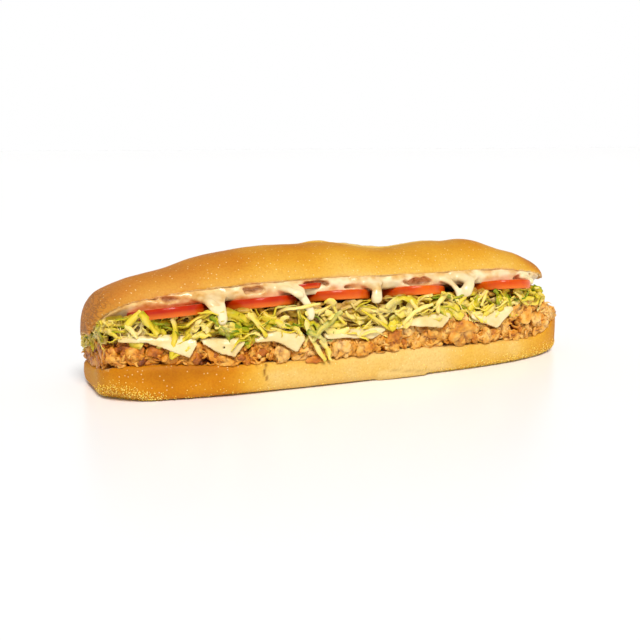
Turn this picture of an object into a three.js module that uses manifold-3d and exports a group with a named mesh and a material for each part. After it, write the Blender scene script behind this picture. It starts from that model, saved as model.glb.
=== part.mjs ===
// A chicken cheesesteak: a long roll, cut along its front and hinged along its back like a clam, that
// holds layers of chopped chicken, sliced cheese, shredded lettuce, tomato slices and white sauce.
//
// Frame, in millimetres: +X runs along the roll, -Y is the open front, +Z is up. The origin is the
// middle of the base. Each layer is a solid of its own, and neighbours keep a small gap.
import * as THREE from "three";
import { mergeVertices } from "three/addons/utils/BufferGeometryUtils.js";
import Module from "manifold-3d";

// ---------------------------------------------------------------- driving dimensions
const GAP = 0.35; // between neighbouring solids
const BREAD_GAP = 0.8; // between the faceted bread and what lies against it

const ROLL = {
  halfLength: { left: 148.5, right: 151 }, // with the lid, a 12 inch roll
  halfWidth: 43,
  bow: 6, // the middle stands this much further forward than the ends
  squareness: { left: 5, right: 3 }, // exponents of the plan's superellipse
  stations: 33,
};
const FACET = { point: [-118, -46, 0], normal: [-0.42, -0.4, -0.81] }; // at the foot of the left end
const LID = {
  halfLength: { left: 151, right: 141 },
  squareness: { left: 3.6, right: 3.4 },
  frontReach: 33, // from the roll's centre line to the lip
  backReach: 42,
  hingeInset: 4, // of the cut's end from the back
  openCurve: 0.52, // how early the cut face rises from the hinge
  archPoints: 10,
};

// Heights of the roll's main lines along X, as [x, height] pairs through which a smooth curve runs.
const RIM_FRONT = [
  [-149, 16.3], [-141, 18.5], [-128, 19.8], [-117, 20], [-104, 19.4], [-82, 17], [-70, 16.9],
  [-44, 16.3], [-22, 15.6], [2, 16.7],
  [17, 17], [40, 16.2], [70, 15.4], [100, 14.2], [117, 14], [125, 15.7], [131, 18.6], [137, 21.5],
  [145, 23], [151, 23.5],
];
const RIM_BACK = [[-152, 12], [-100, 14], [0, 16], [100, 17], [152, 19]];
const LIP = [
  [-151, 30.5], [-147, 38.5], [-142, 44.7], [-132, 50], [-117, 53.3], [-104, 55.4], [-76, 57.8],
  [-40, 59], [-8, 59], [20, 58], [80, 57.6], [101, 56], [120, 53], [134, 49], [141, 45],
];
const HINGE = [
  [-152, 29], [-146, 25], [-135, 17], [-118, 14], [108, 14], [124, 18], [134, 29], [141, 39],
];
const CROWN = [
  [-151, 23], [-147, 25.5], [-140, 26.3], [-128, 28], [-110, 28.7], [-85, 34], [-50, 37.1],
  [-25, 36.6], [-8, 36], [10, 32.3], [24, 31], [50, 34], [66, 34], [84, 35.8], [104, 29.8],
  [120, 28], [132, 21], [141, 7],
];

const TOMATO = { thickness: 5.4, tilt: 12, frontY: -46.5, skinRound: 1.3, sides: 20 };
// Each slice: centre along X, radius, height of its front rim, and roll about Y in degrees.
const TOMATO_SLICES = [
  { x: -111.5, radius: 21.8, rim: 48.2, roll: -3 },
  { x: -60.5, radius: 21.2, rim: 49.8, roll: -1 },
  { x: -36, radius: 11, rim: 55.7, roll: 0, tilt: 15, thickness: 3, frontY: -40.5 },
  { x: -14.8, radius: 20.6, rim: 50.4, roll: 2.5 },
  { x: 34.6, radius: 20.8, rim: 49.6, roll: 2 },
  { x: 95.8, radius: 20.4, rim: 49.4, roll: 1 },
];

const CHEESE = { thickness: 1.8, backY: 0, columns: 6, rows: 6, fold: 1.6 };
// Each slice: its ends along X, the X of its hanging corner, and how far the corner hangs.
const CHEESE_SLICES = [
  { from: -141, to: -101.5, corner: -106, drop: 9.5 },
  { from: -99.5, to: -76, corner: -82, drop: 8.5 },
  { from: -71, to: -42, corner: -47, drop: 8.5 },
  { from: -31, to: 7.5, corner: -2, drop: 4 },
  { from: 12, to: 50, corner: 43.5, drop: 8 },
  { from: 64, to: 97, corner: 84, drop: 8 },
];

const CHICKEN = { chunks: 45, size: [6.6, 9.6], coreInset: 8, seed: 11 };
// Height of the chicken's top at the front, as [x, height] pairs.
const CHICKEN_TOP = [
  [-152, 32], [-120, 32.5], [-100, 30], [-72, 29], [-58, 31.5], [-38, 28], [-10, 28.5],
  [20, 31], [52, 34], [68, 31], [95, 33], [110, 37], [126, 34], [140, 29], [152, 27],
];

const LETTUCE = {
  strips: 30,
  width: [3, 5],
  length: [18, 34],
  thickness: 1.4,
  reach: { left: 148, right: 130 },
  coreInset: 5.5,
  frontTop: 46,
  seed: 23,
};

const SAUCE = { thickness: 4.4, lipInset: 0.6, backY: 0, columns: 20, rightEnd: 130, tomatoTop: 52.6 };
// Where the sauce leaves the lid's crumb bare along its front: middle, half width and half height.
const SAUCE_POCKETS = [
  { x: -113, z: 51.8, half: 6.2, tall: 1.9 },
  { x: -67, z: 54.5, half: 5.6, tall: 1.9 },
  { x: -33, z: 55.5, half: 14, tall: 1.7 },
  { x: 33.6, z: 53.2, half: 8, tall: 2.5 },
];
const POCKET_DEPTH = 4.5;
// Drips of sauce that hang over the front: X of the root, X and Z of the tip, radius.
const DRIPS = [
  { x: -96, tipX: -92, tipZ: 42.5, radius: 4.2 },
  { x: -87, tipX: -87.5, tipZ: 40, radius: 3.8 },
  { x: -50, tipX: -43, tipZ: 48.5, radius: 3.2 },
  { x: -42, tipX: -38.5, tipZ: 37.5, radius: 4.1 },
  { x: 3, tipX: 1.5, tipZ: 44.5, radius: 4.2 },
  { x: 51, tipX: 55, tipZ: 43.5, radius: 3 },
  { x: 65, tipX: 61, tipZ: 43, radius: 5 },
  { x: 114, tipX: 113, tipZ: 45.5, radius: 3 },
];

// ---------------------------------------------------------------- small helpers
const clamp = THREE.MathUtils.clamp;
const lerp = THREE.MathUtils.lerp;
const radians = THREE.MathUtils.degToRad;

// A smooth curve through [x, value] pairs, level beyond its ends.
function profile(points) {
  const slope = (i) => {
    const [a, b] = [points[Math.max(i - 1, 0)], points[Math.min(i + 1, points.length - 1)]];
    return i === 0 || i === points.length - 1 ? 0 : (b[1] - a[1]) / (b[0] - a[0]);
  };
  return (x) => {
    if (x <= points[0][0]) return points[0][1];
    if (x >= points.at(-1)[0]) return points.at(-1)[1];
    const i = points.findIndex((p) => p[0] > x) - 1;
    const [[x0, v0], [x1, v1]] = [points[i], points[i + 1]];
    const step = x1 - x0;
    const t = (x - x0) / step;
    const ease = t * t * (3 - 2 * t);
    return (
      lerp(v0, v1, ease) +
      step * slope(i) * t * (1 - t) ** 2 -
      step * slope(i + 1) * t * t * (1 - t)
    );
  };
}

// A repeatable source of random numbers: draw(low, high).
function randomSource(seed) {
  let state = seed;
  return (low, high) => {
    state = (state + 0x6d2b79f5) | 0;
    let t = Math.imul(state ^ (state >>> 15), 1 | state);
    t = (t + Math.imul(t ^ (t >>> 7), 61 | t)) ^ t;
    return low + ((high - low) * ((t ^ (t >>> 14)) >>> 0)) / 2 ** 32;
  };
}

// ---------------------------------------------------------------- solids
const wasm = await Module();
wasm.setup();

function toSolid(geometry, matrix = new THREE.Matrix4(), nearness = 1e-4) {
  const bare = new THREE.BufferGeometry();
  bare.setAttribute("position", geometry.getAttribute("position").clone());
  bare.setIndex(geometry.getIndex());
  const merged = mergeVertices(bare.applyMatrix4(matrix), nearness);
  return new wasm.Manifold(
    new wasm.Mesh({
      numProp: 3,
      vertProperties: new Float32Array(merged.getAttribute("position").array),
      triVerts: new Uint32Array(merged.getIndex().array),
    }),
  );
}

// A solid's largest body: crumbs that a cut leaves loose are dropped.
const largestBody = (solid) => solid.decompose().reduce((a, b) => (b.volume() > a.volume() ? b : a));

function toGeometry(solid) {
  const mesh = solid.getMesh();
  const positions = new Float32Array(mesh.numVert * 3);
  for (let i = 0; i < mesh.numVert; i++) {
    positions.set(mesh.vertProperties.subarray(i * mesh.numProp, i * mesh.numProp + 3), i * 3);
  }
  const geometry = new THREE.BufferGeometry();
  geometry.setAttribute("position", new THREE.BufferAttribute(positions, 3));
  geometry.setIndex(new THREE.BufferAttribute(mesh.triVerts, 1));
  return geometry;
}

// One closed body, whose vertices stay apart when near ones are merged.
const cleaned = (solid) => toGeometry(largestBody(toSolid(toGeometry(largestBody(solid)), undefined, 3e-4)));

const union = (solids) => wasm.Manifold.union(solids);

// A geometry's solid joined with copies of it moved by GAP along the given directions.
const withGap = (geometry, directions) =>
  union(
    [[0, 0, 0], ...directions].map((way) =>
      toSolid(geometry, new THREE.Matrix4().makeTranslation(...way.map((part) => part * GAP))),
    ),
  );

// A closed surface through rings of equal point counts, with a fan at each end.
function loft(rings) {
  const count = rings[0].length;
  const centreOf = (ring) =>
    ring.reduce((sum, p) => sum.add(p), new THREE.Vector3()).divideScalar(count);
  const points = [...rings.flat(), centreOf(rings[0]), centreOf(rings.at(-1))];
  const firstCentre = rings.length * count;
  const index = [];
  for (let j = 0; j < count; j++) {
    const k = (j + 1) % count;
    const last = (rings.length - 1) * count;
    index.push(firstCentre, k, j, firstCentre + 1, last + j, last + k);
    for (let i = 0; i < rings.length - 1; i++) {
      const [a, b] = [i * count, (i + 1) * count];
      index.push(a + j, a + k, b + k, a + j, b + k, b + j);
    }
  }
  return facingOut(new THREE.BufferGeometry().setFromPoints(points), index);
}

// Sets the index, turned round if the surface faces inwards.
function facingOut(geometry, index) {
  const p = geometry.getAttribute("position");
  const [a, b, c] = [new THREE.Vector3(), new THREE.Vector3(), new THREE.Vector3()];
  let volume = 0;
  for (let i = 0; i < index.length; i += 3) {
    a.fromBufferAttribute(p, index[i]);
    b.fromBufferAttribute(p, index[i + 1]);
    c.fromBufferAttribute(p, index[i + 2]);
    volume += a.dot(b.cross(c));
  }
  geometry.setIndex(volume < 0 ? index.slice().reverse() : index);
  return geometry;
}

// A plate between two grids of points, lower(i, j) and upper(i, j), closed along its four sides.
function plate(columns, rows, lower, upper) {
  const points = [];
  for (const at of [lower, upper]) {
    for (let i = 0; i <= columns; i++) {
      for (let j = 0; j <= rows; j++) points.push(at(i, j));
    }
  }
  const id = (layer, i, j) => (layer * (columns + 1) + i) * (rows + 1) + j;
  const index = [];
  const quad = (a, b, c, d) => index.push(a, b, c, a, c, d);
  for (let i = 0; i < columns; i++) {
    for (let j = 0; j < rows; j++) {
      quad(id(0, i, j), id(0, i, j + 1), id(0, i + 1, j + 1), id(0, i + 1, j));
      quad(id(1, i, j), id(1, i + 1, j), id(1, i + 1, j + 1), id(1, i, j + 1));
    }
  }
  for (let i = 0; i < columns; i++) {
    quad(id(0, i, 0), id(0, i + 1, 0), id(1, i + 1, 0), id(1, i, 0));
    quad(id(0, i + 1, rows), id(0, i, rows), id(1, i, rows), id(1, i + 1, rows));
  }
  for (let j = 0; j < rows; j++) {
    quad(id(0, 0, j + 1), id(0, 0, j), id(1, 0, j), id(1, 0, j + 1));
    quad(id(0, columns, j), id(0, columns, j + 1), id(1, columns, j + 1), id(1, columns, j));
  }
  return facingOut(new THREE.BufferGeometry().setFromPoints(points), index);
}

// ---------------------------------------------------------------- the roll's lines
const rimFrontAt = profile(RIM_FRONT);
const rimBackAt = profile(RIM_BACK);
const lipAt = profile(LIP);
const hingeAt = profile(HINGE);
const crownAt = profile(CROWN);

// Share of the full width that a superellipse has at x.
function fullness(x, { halfLength, squareness }) {
  const side = x < 0 ? "left" : "right";
  const power = squareness[side];
  return Math.max(1 - Math.abs(x / halfLength[side]) ** power, 0) ** (1 / power);
}

const centreY = (x) => -ROLL.bow * (1 - Math.min(Math.abs(x / 152), 1) ** 2);
const rollFullness = (x) => fullness(x, ROLL);
const lidFullness = (x) => fullness(x, LID);
const rollFront = (x) => centreY(x) - ROLL.halfWidth * rollFullness(x);
const rollBack = (x) => centreY(x) + ROLL.halfWidth * rollFullness(x);
const lidFront = (x) => centreY(x) - LID.frontReach * lidFullness(x);
const lidBack = (x) => centreY(x) + LID.backReach * lidFullness(x);

// Height of the lower cut face.
function lowerCut(x, y) {
  const across = clamp((y - rollFront(x)) / (2 * ROLL.halfWidth * rollFullness(x) + 1e-6), 0, 1);
  const dish = 1.5 * Math.sin(Math.PI * across);
  return lerp(rimFrontAt(x), rimBackAt(x), across) - dish;
}

// Height of the lid's cut face, which rises from the hinge to the lip.
function upperCut(x, y) {
  const near = clamp(x, -147, 138);
  const [front, back] = [lidFront(near), lidBack(near) - LID.hingeInset];
  const open = clamp((back - y) / (back - front), 0, 1.25) ** LID.openCurve;
  return lerp(hingeAt(x), lipAt(x), open);
}

// Stations along X that stand an equal way apart along the plan's outline, so that the round ends get
// as many as they need.
function stations(count, low, high, frontAt) {
  const fine = 4000;
  const places = [];
  let travelled = 0;
  let before = null;
  for (let i = 0; i <= fine; i++) {
    const x = lerp(low, high, i / fine);
    const y = frontAt(x);
    if (before) travelled += Math.hypot(x - before[0], y - before[1]);
    places.push([travelled, x]);
    before = [x, y];
  }
  return Array.from({ length: count + 1 }, (_, i) => {
    const wanted = (travelled * i) / count;
    return places.find(([way]) => way >= wanted - 1e-9)[1];
  });
}

// ---------------------------------------------------------------- the roll
// A big block beyond a plane: the roll was pressed flat there by its neighbour while it baked.
function beyondFacet() {
  const { point, normal } = FACET;
  const block = new THREE.BoxGeometry(80, 80, 40).translate(0, 0, 20);
  const turn = new THREE.Quaternion().setFromUnitVectors(
    new THREE.Vector3(0, 0, 1),
    new THREE.Vector3(...normal).normalize(),
  );
  return block.applyQuaternion(turn).translate(...point);
}

function lowerHalf() {
  const { left, right } = ROLL.halfLength;
  const rings = stations(ROLL.stations, 0.4 - left, right - 0.4, rollFront).map((x) => {
    const half = ROLL.halfWidth * rollFullness(x);
    const lift = 6 * Math.max(0.92 - rollFullness(x), 0) ** 1.3; // the base rounds up at the ends
    const at = (share, z) => new THREE.Vector3(x, centreY(x) + share * half, z);
    const front = rimFrontAt(x);
    const back = rimBackAt(x);
    const cut = (share) => at(share, lowerCut(x, centreY(x) + share * half));
    return [
      at(-0.82, lift),
      at(-0.95, lift + 1),
      at(-1, lift + 4.5),
      at(-1.01, lerp(lift, front, 0.65)),
      at(-0.985, front - 1.4),
      at(-0.95, front),
      cut(-0.7),
      cut(-0.2),
      cut(0.35),
      at(0.93, back),
      at(1, back - 3),
      at(1.01, lift + 6),
      at(0.95, lift + 1.5),
      at(0.8, lift),
      at(0, lift),
    ];
  });
  return loft(rings);
}

function lid() {
  const [low, high] = [-LID.halfLength.left + 0.4, LID.halfLength.right - 0.4];
  const cutShares = [0.02, 0.08, 0.2, 0.4, 0.6, 0.8, 0.94];
  const rings = stations(ROLL.stations, low, high, lidFront).map((x) => {
    const [front, back] = [lidFront(x), lidBack(x)];
    const hinge = new THREE.Vector3(x, back, hingeAt(x) - 1.5);
    const lip = new THREE.Vector3(x, front, lipAt(x));
    const along = hinge.clone().sub(lip);
    const normal = new THREE.Vector3(0, -along.z, along.y).normalize();
    const height = crownAt(x) * lidFullness(x) ** 0.55;
    const arch = [];
    for (let i = 0; i < LID.archPoints; i++) {
      const turn = (Math.PI * i) / (LID.archPoints - 1);
      const share = (1 - Math.cos(turn)) / 2;
      arch.push(
        lip.clone().addScaledVector(along, share).addScaledVector(normal, height * Math.sin(turn) ** 0.85),
      );
    }
    const cut = cutShares.map((share) => {
      const y = lerp(back - LID.hingeInset, front, share);
      return new THREE.Vector3(x, y, lerp(hingeAt(x), lipAt(x), share ** LID.openCurve));
    });
    return [...arch, ...cut];
  });
  return loft(rings);
}

const roll = union([toSolid(lowerHalf()).subtract(toSolid(beyondFacet())), toSolid(lid())]);
const rollSpace = union([withGap(lowerHalf(), [[0, 0, 1]]), withGap(lid(), [[0, 0, -1]])]);

// ---------------------------------------------------------------- the filling's surfaces
const chickenTopAt = profile(CHICKEN_TOP);
const fillingBack = (x) => Math.min(rollBack(x) - 9, 25);

// Top of the chicken, which tapers to the hinge with the space between the two cut faces.
function chickenTop(x, y) {
  const front = rollFront(clamp(x, -142, 142)) + 4;
  const floor = lowerCut(x, front);
  const share = (chickenTopAt(x) - floor) / (upperCut(x, front) - floor);
  return lerp(lowerCut(x, y), upperCut(x, y), clamp(share, 0, 0.8));
}

const lettuceFloor = (x, y) => chickenTop(x, y) + CHEESE.thickness + 2 * GAP;

// Underside of the tomato layer: a slope that rises towards the front.
function lettuceTop(x, y) {
  const slope = LETTUCE.frontTop - Math.tan(radians(TOMATO.tilt)) * (y - TOMATO.frontY);
  return Math.min(slope, upperCut(x, y) - BREAD_GAP);
}

// A layer's solid between two surfaces, from this far inside the roll's outline to the filling's back.
function layer(inset, floorAt, topAt, columns, rows, reach = ROLL.halfLength) {
  const at = (heightAt) => (i, j) => {
    const x = lerp(inset - reach.left, reach.right - inset, i / columns);
    const near = clamp(x, -140, 142);
    const y = lerp(rollFront(near) + inset, fillingBack(near), j / rows);
    return new THREE.Vector3(x, y, heightAt(x, y));
  };
  return toSolid(plate(columns, rows, at(floorAt), at(topAt)));
}

// A place on the roll's outline, this far inside it: t runs from the back of the left end, round the
// front, to the back of the right end.
function outlineAt(t, inset) {
  const turn = lerp(Math.PI * 0.84, Math.PI * 2.16, t);
  const side = Math.cos(turn) < 0 ? "left" : "right";
  const reach = (value) => Math.sign(value) * Math.abs(value) ** (2 / ROLL.squareness[side]);
  const length = ROLL.halfLength[side] - inset;
  const x = length * reach(Math.cos(turn));
  const y = centreY(x) + (ROLL.halfWidth - inset) * reach(Math.sin(turn));
  const heading = Math.atan2(Math.sin(turn) * length, Math.cos(turn) * ROLL.halfWidth);
  return { x, y, heading };
}

// Places at equal steps along the outline.
function outlinePlaces(count, inset) {
  const fine = Array.from({ length: 2001 }, (_, i) => outlineAt(i / 2000, inset));
  const ways = [0];
  for (let i = 1; i < fine.length; i++) {
    ways.push(ways[i - 1] + Math.hypot(fine[i].x - fine[i - 1].x, fine[i].y - fine[i - 1].y));
  }
  return Array.from({ length: count }, (_, i) => {
    const wanted = (ways.at(-1) * (i + 0.5)) / count;
    return fine[ways.findIndex((way) => way >= wanted)];
  });
}

// ---------------------------------------------------------------- cheese
// A slice lies on the chicken, folds over its front and hangs there, deepest at one corner.
function cheeseSlice({ from, to, corner, drop }) {
  const hang = (x) => drop * clamp(Math.min((x - from) / (corner - from), (to - x) / (to - corner)), 0, 1);
  const face = (outer) => (i, j) => {
    const x = lerp(from, to, i / CHEESE.columns);
    const edge = rollFront(clamp(x, -143, 146)) + 1.5;
    const flat = CHEESE.backY - edge;
    // Half the rows lie on the chicken, the others go down its front.
    const folded = CHEESE.rows / 2;
    if (j <= folded) {
      const y = CHEESE.backY - (flat * j) / folded;
      return new THREE.Vector3(x, y, chickenTop(x, y) + GAP + (outer ? CHEESE.thickness : 0));
    }
    const down = (j - folded) / (CHEESE.rows - folded);
    const y = edge - CHEESE.fold * Math.min(down * 3, 1);
    const thickness = outer ? CHEESE.thickness * 0.8 : 0;
    const z = chickenTop(x, edge) - (hang(x) + 1) * down + (outer ? CHEESE.thickness * (1 - down) : 0);
    return new THREE.Vector3(x, y - thickness, z);
  };
  return plate(CHEESE.columns, CHEESE.rows, face(false), face(true));
}

const cheeseSpace = union(
  CHEESE_SLICES.map((slice) => withGap(cheeseSlice(slice), [[0, 0, 1], [0, 0, -1], [0, 1, 0], [0, -1, 0]])),
);

// ---------------------------------------------------------------- chicken
// One chopped piece: a lump with few faces, uneven along every axis.
function chunk(draw, size) {
  const ball = new THREE.IcosahedronGeometry(size, 0);
  ball.deleteAttribute("normal");
  ball.deleteAttribute("uv");
  const lump = mergeVertices(ball, 1e-3);
  const p = lump.getAttribute("position");
  const stretch = [draw(0.8, 1.3), draw(0.7, 1.1), draw(0.6, 0.95)];
  for (let i = 0; i < p.count; i++) {
    const swell = draw(0.75, 1.2);
    p.setXYZ(
      i,
      p.getX(i) * swell * stretch[0],
      p.getY(i) * swell * stretch[1],
      p.getZ(i) * swell * stretch[2],
    );
  }
  return lump;
}

function chickenHeap() {
  const draw = randomSource(CHICKEN.seed);
  const floor = (x, y) => lowerCut(x, y) + BREAD_GAP;
  const parts = [layer(CHICKEN.coreInset, floor, (x, y) => chickenTop(x, y) - 1, 12, 2)];
  outlinePlaces(CHICKEN.chunks, 7).forEach(({ x, y }, i) => {
    const size = draw(...CHICKEN.size);
    const height = lerp(floor(x, y), chickenTop(x, y), i % 2 ? 0.2 : 0.75) + draw(-1, 1);
    const matrix = new THREE.Matrix4()
      .makeRotationFromEuler(new THREE.Euler(draw(0, 3), draw(0, 3), draw(0, 3)))
      .setPosition(x, y + draw(-0.5, 1.5), height);
    parts.push(toSolid(chunk(draw, size), matrix));
  });
  return union(parts)
    .intersect(layer(-3, floor, chickenTop, 12, 3))
    .subtract(union([rollSpace, cheeseSpace]));
}

// ---------------------------------------------------------------- tomato
function tomatoGeometry({ radius, thickness = TOMATO.thickness }, grow = 0) {
  const [r, half, round] = [radius + grow, thickness / 2 + grow, TOMATO.skinRound];
  const section = [
    [0, -half],
    [r - round, -half],
    [r, -half + round],
    [r, half - round],
    [r - round, half],
    [0, half],
  ].map(([x, y]) => new THREE.Vector2(x, y));
  return new THREE.LatheGeometry(section, TOMATO.sides).rotateX(Math.PI / 2);
}

// Slopes a slice up towards the front, with its front rim at the slice's height.
function placeTomato(object, { x, radius, rim, roll, tilt = TOMATO.tilt, frontY = TOMATO.frontY }) {
  const slope = radians(tilt);
  object.rotation.set(-slope, radians(roll), 0, "YXZ");
  object.position.set(x, frontY + radius * Math.cos(slope), rim - radius * Math.sin(slope));
  object.updateMatrix();
  return object;
}

const tomatoSpace = union(
  TOMATO_SLICES.map((slice) =>
    toSolid(tomatoGeometry(slice, GAP), placeTomato(new THREE.Object3D(), slice).matrix),
  ),
);

// ---------------------------------------------------------------- sauce
// A drip runs from the front of the sauce's layer over what lies below it to a rounded tip.
function drip({ x, tipX, tipZ, radius }, grow = 0) {
  const [steps, sides] = [5, 6];
  const rootY = lidFront(x) + 3;
  const rootZ = upperCut(x, rootY) - BREAD_GAP - radius * 0.9;
  const front = Math.max(TOMATO.frontY, rollFront(tipX) + 3) - radius * 0.6 - GAP;
  const path = new THREE.CatmullRomCurve3([
    new THREE.Vector3(x, rootY + 5, rootZ - 1),
    new THREE.Vector3(x, rootY - 1, rootZ),
    new THREE.Vector3(lerp(x, tipX, 0.4), lerp(rootY, front, 0.85), lerp(rootZ, tipZ, 0.25)),
    new THREE.Vector3(tipX, front, lerp(rootZ, tipZ, 0.65)),
    new THREE.Vector3(tipX, front + 0.3, tipZ),
  ]);
  const rings = Array.from({ length: steps + 1 }, (_, i) => {
    const t = i / steps;
    const centre = path.getPoint(t);
    const side = new THREE.Vector3(1, 0, 0).cross(path.getTangent(t)).normalize();
    const across = path.getTangent(t).cross(side).normalize();
    const r = radius * lerp(1.2, 0.8, t) * (i === steps ? 0.5 : 1);
    return Array.from({ length: sides }, (_, k) => {
      const turn = (2 * Math.PI * k) / sides;
      return centre
        .clone()
        .addScaledVector(across, (r + grow) * Math.cos(turn))
        .addScaledVector(side, (r * 0.75 + grow) * Math.sin(turn));
    });
  });
  return loft(rings);
}

// The layer under the lid. Its front fills the gap down to the tomatoes.
function sauceSheet() {
  const top = (x, y) => upperCut(x, y) - BREAD_GAP;
  const bottom = (x, y) => {
    const sag = 1.2 * Math.sin(x * 0.23) * Math.sin(x * 0.06 + 1);
    const tomatoes = SAUCE.tomatoTop - Math.tan(radians(TOMATO.tilt)) * (y - TOMATO.frontY);
    return Math.min(top(x, y) - SAUCE.thickness, tomatoes) - sag;
  };
  const at = (heightAt) => (i, j) => {
    const x = lerp(4 - LID.halfLength.left, SAUCE.rightEnd, i / SAUCE.columns);
    const y = lerp(lidFront(x) + SAUCE.lipInset, SAUCE.backY, j / 3);
    return new THREE.Vector3(x, y, heightAt(x, y));
  };
  return plate(SAUCE.columns, 3, at(bottom), at(top));
}

// A bare pocket in the sauce's front.
function pocket({ x, z, half, tall }) {
  const ball = new THREE.SphereGeometry(1, 7, 4).rotateX(Math.PI / 2).scale(half, POCKET_DEPTH, tall);
  return ball.translate(x, lidFront(x) + SAUCE.lipInset, z);
}

const sauceSpace = union([
  withGap(sauceSheet(), [[0, 0, 1], [0, 0, -1], [0, 1, 0], [0, -1, 0]]),
  ...DRIPS.map((one) => toSolid(drip(one, GAP))),
]);

const sauceSolid = () =>
  union([toSolid(sauceSheet()), ...DRIPS.map((one) => toSolid(drip(one)))]).subtract(
    union([rollSpace, tomatoSpace, ...SAUCE_POCKETS.map((one) => toSolid(pocket(one)))]),
  );

// ---------------------------------------------------------------- lettuce
// A shred: a flat strip that bends and twists along its length.
function shred(draw) {
  const steps = 2;
  const length = draw(...LETTUCE.length);
  const width = draw(...LETTUCE.width) / 2;
  const [bend, twist] = [draw(-0.35, 0.35), draw(-1.2, 1.2)];
  const rings = Array.from({ length: steps + 1 }, (_, i) => {
    const t = i / steps - 0.5;
    const centre = new THREE.Vector3(t * length, 0, bend * length * (t * t - 0.1));
    const turn = twist * t + 0.9;
    const across = new THREE.Vector3(0, Math.cos(turn), Math.sin(turn)).multiplyScalar(width);
    const up = new THREE.Vector3(0, -Math.sin(turn), Math.cos(turn)).multiplyScalar(LETTUCE.thickness / 2);
    return [[1, 1], [-1, 1], [-1, -1], [1, -1]].map(([a, b]) =>
      centre.clone().addScaledVector(across, a).addScaledVector(up, b),
    );
  });
  return loft(rings);
}

function lettuceHeap() {
  const draw = randomSource(LETTUCE.seed);
  const { strips, coreInset, reach } = LETTUCE;
  const parts = [layer(coreInset, lettuceFloor, (x, y) => lettuceTop(x, y) - 1, 12, 2, reach)];
  outlinePlaces(strips, 3.5).forEach(({ x, y, heading }, i) => {
    const height = lerp(lettuceFloor(x, y), lettuceTop(x, y), [0.25, 0.75, 0.5][i % 3]);
    const matrix = new THREE.Matrix4()
      .makeRotationZ(heading + Math.PI / 2 + draw(-0.3, 0.3))
      .multiply(new THREE.Matrix4().makeRotationY(draw(-0.7, 0.7)))
      .setPosition(x, y + draw(-0.5, 1.5), height + draw(-1, 1));
    parts.push(toSolid(shred(draw), matrix));
  });
  return union(parts)
    .intersect(layer(0, lettuceFloor, lettuceTop, 12, 3, reach))
    .subtract(union([rollSpace, cheeseSpace, tomatoSpace, sauceSpace]));
}

// ---------------------------------------------------------------- assembly
const finish = (color, roughness) => new THREE.MeshStandardMaterial({ color, roughness, metalness: 0 });
const CRUST = finish(0xd9963c, 0.6);
const MEAT = finish(0xd08a48, 0.65);
const MILD_CHEESE = finish(0xf3e6ae, 0.45);
const LEAF = finish(0xc3cf5a, 0.5);
const TOMATO_RED = finish(0xd93a10, 0.3);
const CREAM = finish(0xf6f0d8, 0.3);

const sandwich = new THREE.Group();

function add(name, geometry, material) {
  const mesh = new THREE.Mesh(geometry, material);
  mesh.name = name;
  sandwich.add(mesh);
  return mesh;
}

add("roll", cleaned(roll), CRUST);
add("chicken", cleaned(chickenHeap()), MEAT);
CHEESE_SLICES.forEach((slice, i) => add(`cheese_${i + 1}`, cheeseSlice(slice), MILD_CHEESE));
add("lettuce", cleaned(lettuceHeap()), LEAF);
TOMATO_SLICES.forEach((slice, i) => {
  placeTomato(add(`tomato_${i + 1}`, tomatoGeometry(slice), TOMATO_RED), slice);
});
add("sauce", cleaned(sauceSolid()), CREAM);

// The origin goes to the middle of the base.
const box = new THREE.Box3().setFromObject(sandwich);
const middle = box.getCenter(new THREE.Vector3());
sandwich.position.set(-middle.x, -middle.y, -box.min.z);

export default sandwich;
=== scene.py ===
import math

import bmesh
import bpy
import numpy as np
from mathutils import Euler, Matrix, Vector


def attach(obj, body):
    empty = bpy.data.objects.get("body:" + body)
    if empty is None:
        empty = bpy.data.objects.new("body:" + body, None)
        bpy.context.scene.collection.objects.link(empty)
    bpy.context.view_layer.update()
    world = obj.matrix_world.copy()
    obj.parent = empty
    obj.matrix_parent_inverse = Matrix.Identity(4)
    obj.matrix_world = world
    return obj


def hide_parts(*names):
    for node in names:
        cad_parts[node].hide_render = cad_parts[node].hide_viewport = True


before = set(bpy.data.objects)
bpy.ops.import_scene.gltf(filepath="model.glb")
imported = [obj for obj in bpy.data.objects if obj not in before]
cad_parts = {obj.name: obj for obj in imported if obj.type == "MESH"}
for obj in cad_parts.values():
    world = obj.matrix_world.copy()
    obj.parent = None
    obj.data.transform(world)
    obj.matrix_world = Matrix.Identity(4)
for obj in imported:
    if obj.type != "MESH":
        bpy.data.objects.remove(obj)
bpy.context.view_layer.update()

# ---------------------------------------------------------------- dimensions, in millimetres
ORIGIN = np.array([0.0, 4.619, 0.0])

ROLL_LENGTH = (148.5, 151.0)  # left and right of the middle
ROLL_POWER = (5.0, 3.0)  # of the plan's superellipse
ROLL_HALF_WIDTH = 43.0
LID_LENGTH = (151.0, 141.0)
LID_POWER = (3.6, 3.4)
LID_REACH = (33.0, 42.0)  # from the centre line to the lip and to the back
HINGE_INSET = 4.0
OPEN_CURVE = 0.52
BOW, BOW_REACH = 6.0, 152.0  # how far the middle stands forward, and where that ends along X
FRONT_SPAN = (-143, 146)  # the part of the front's line before it turns in at the ends

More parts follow.
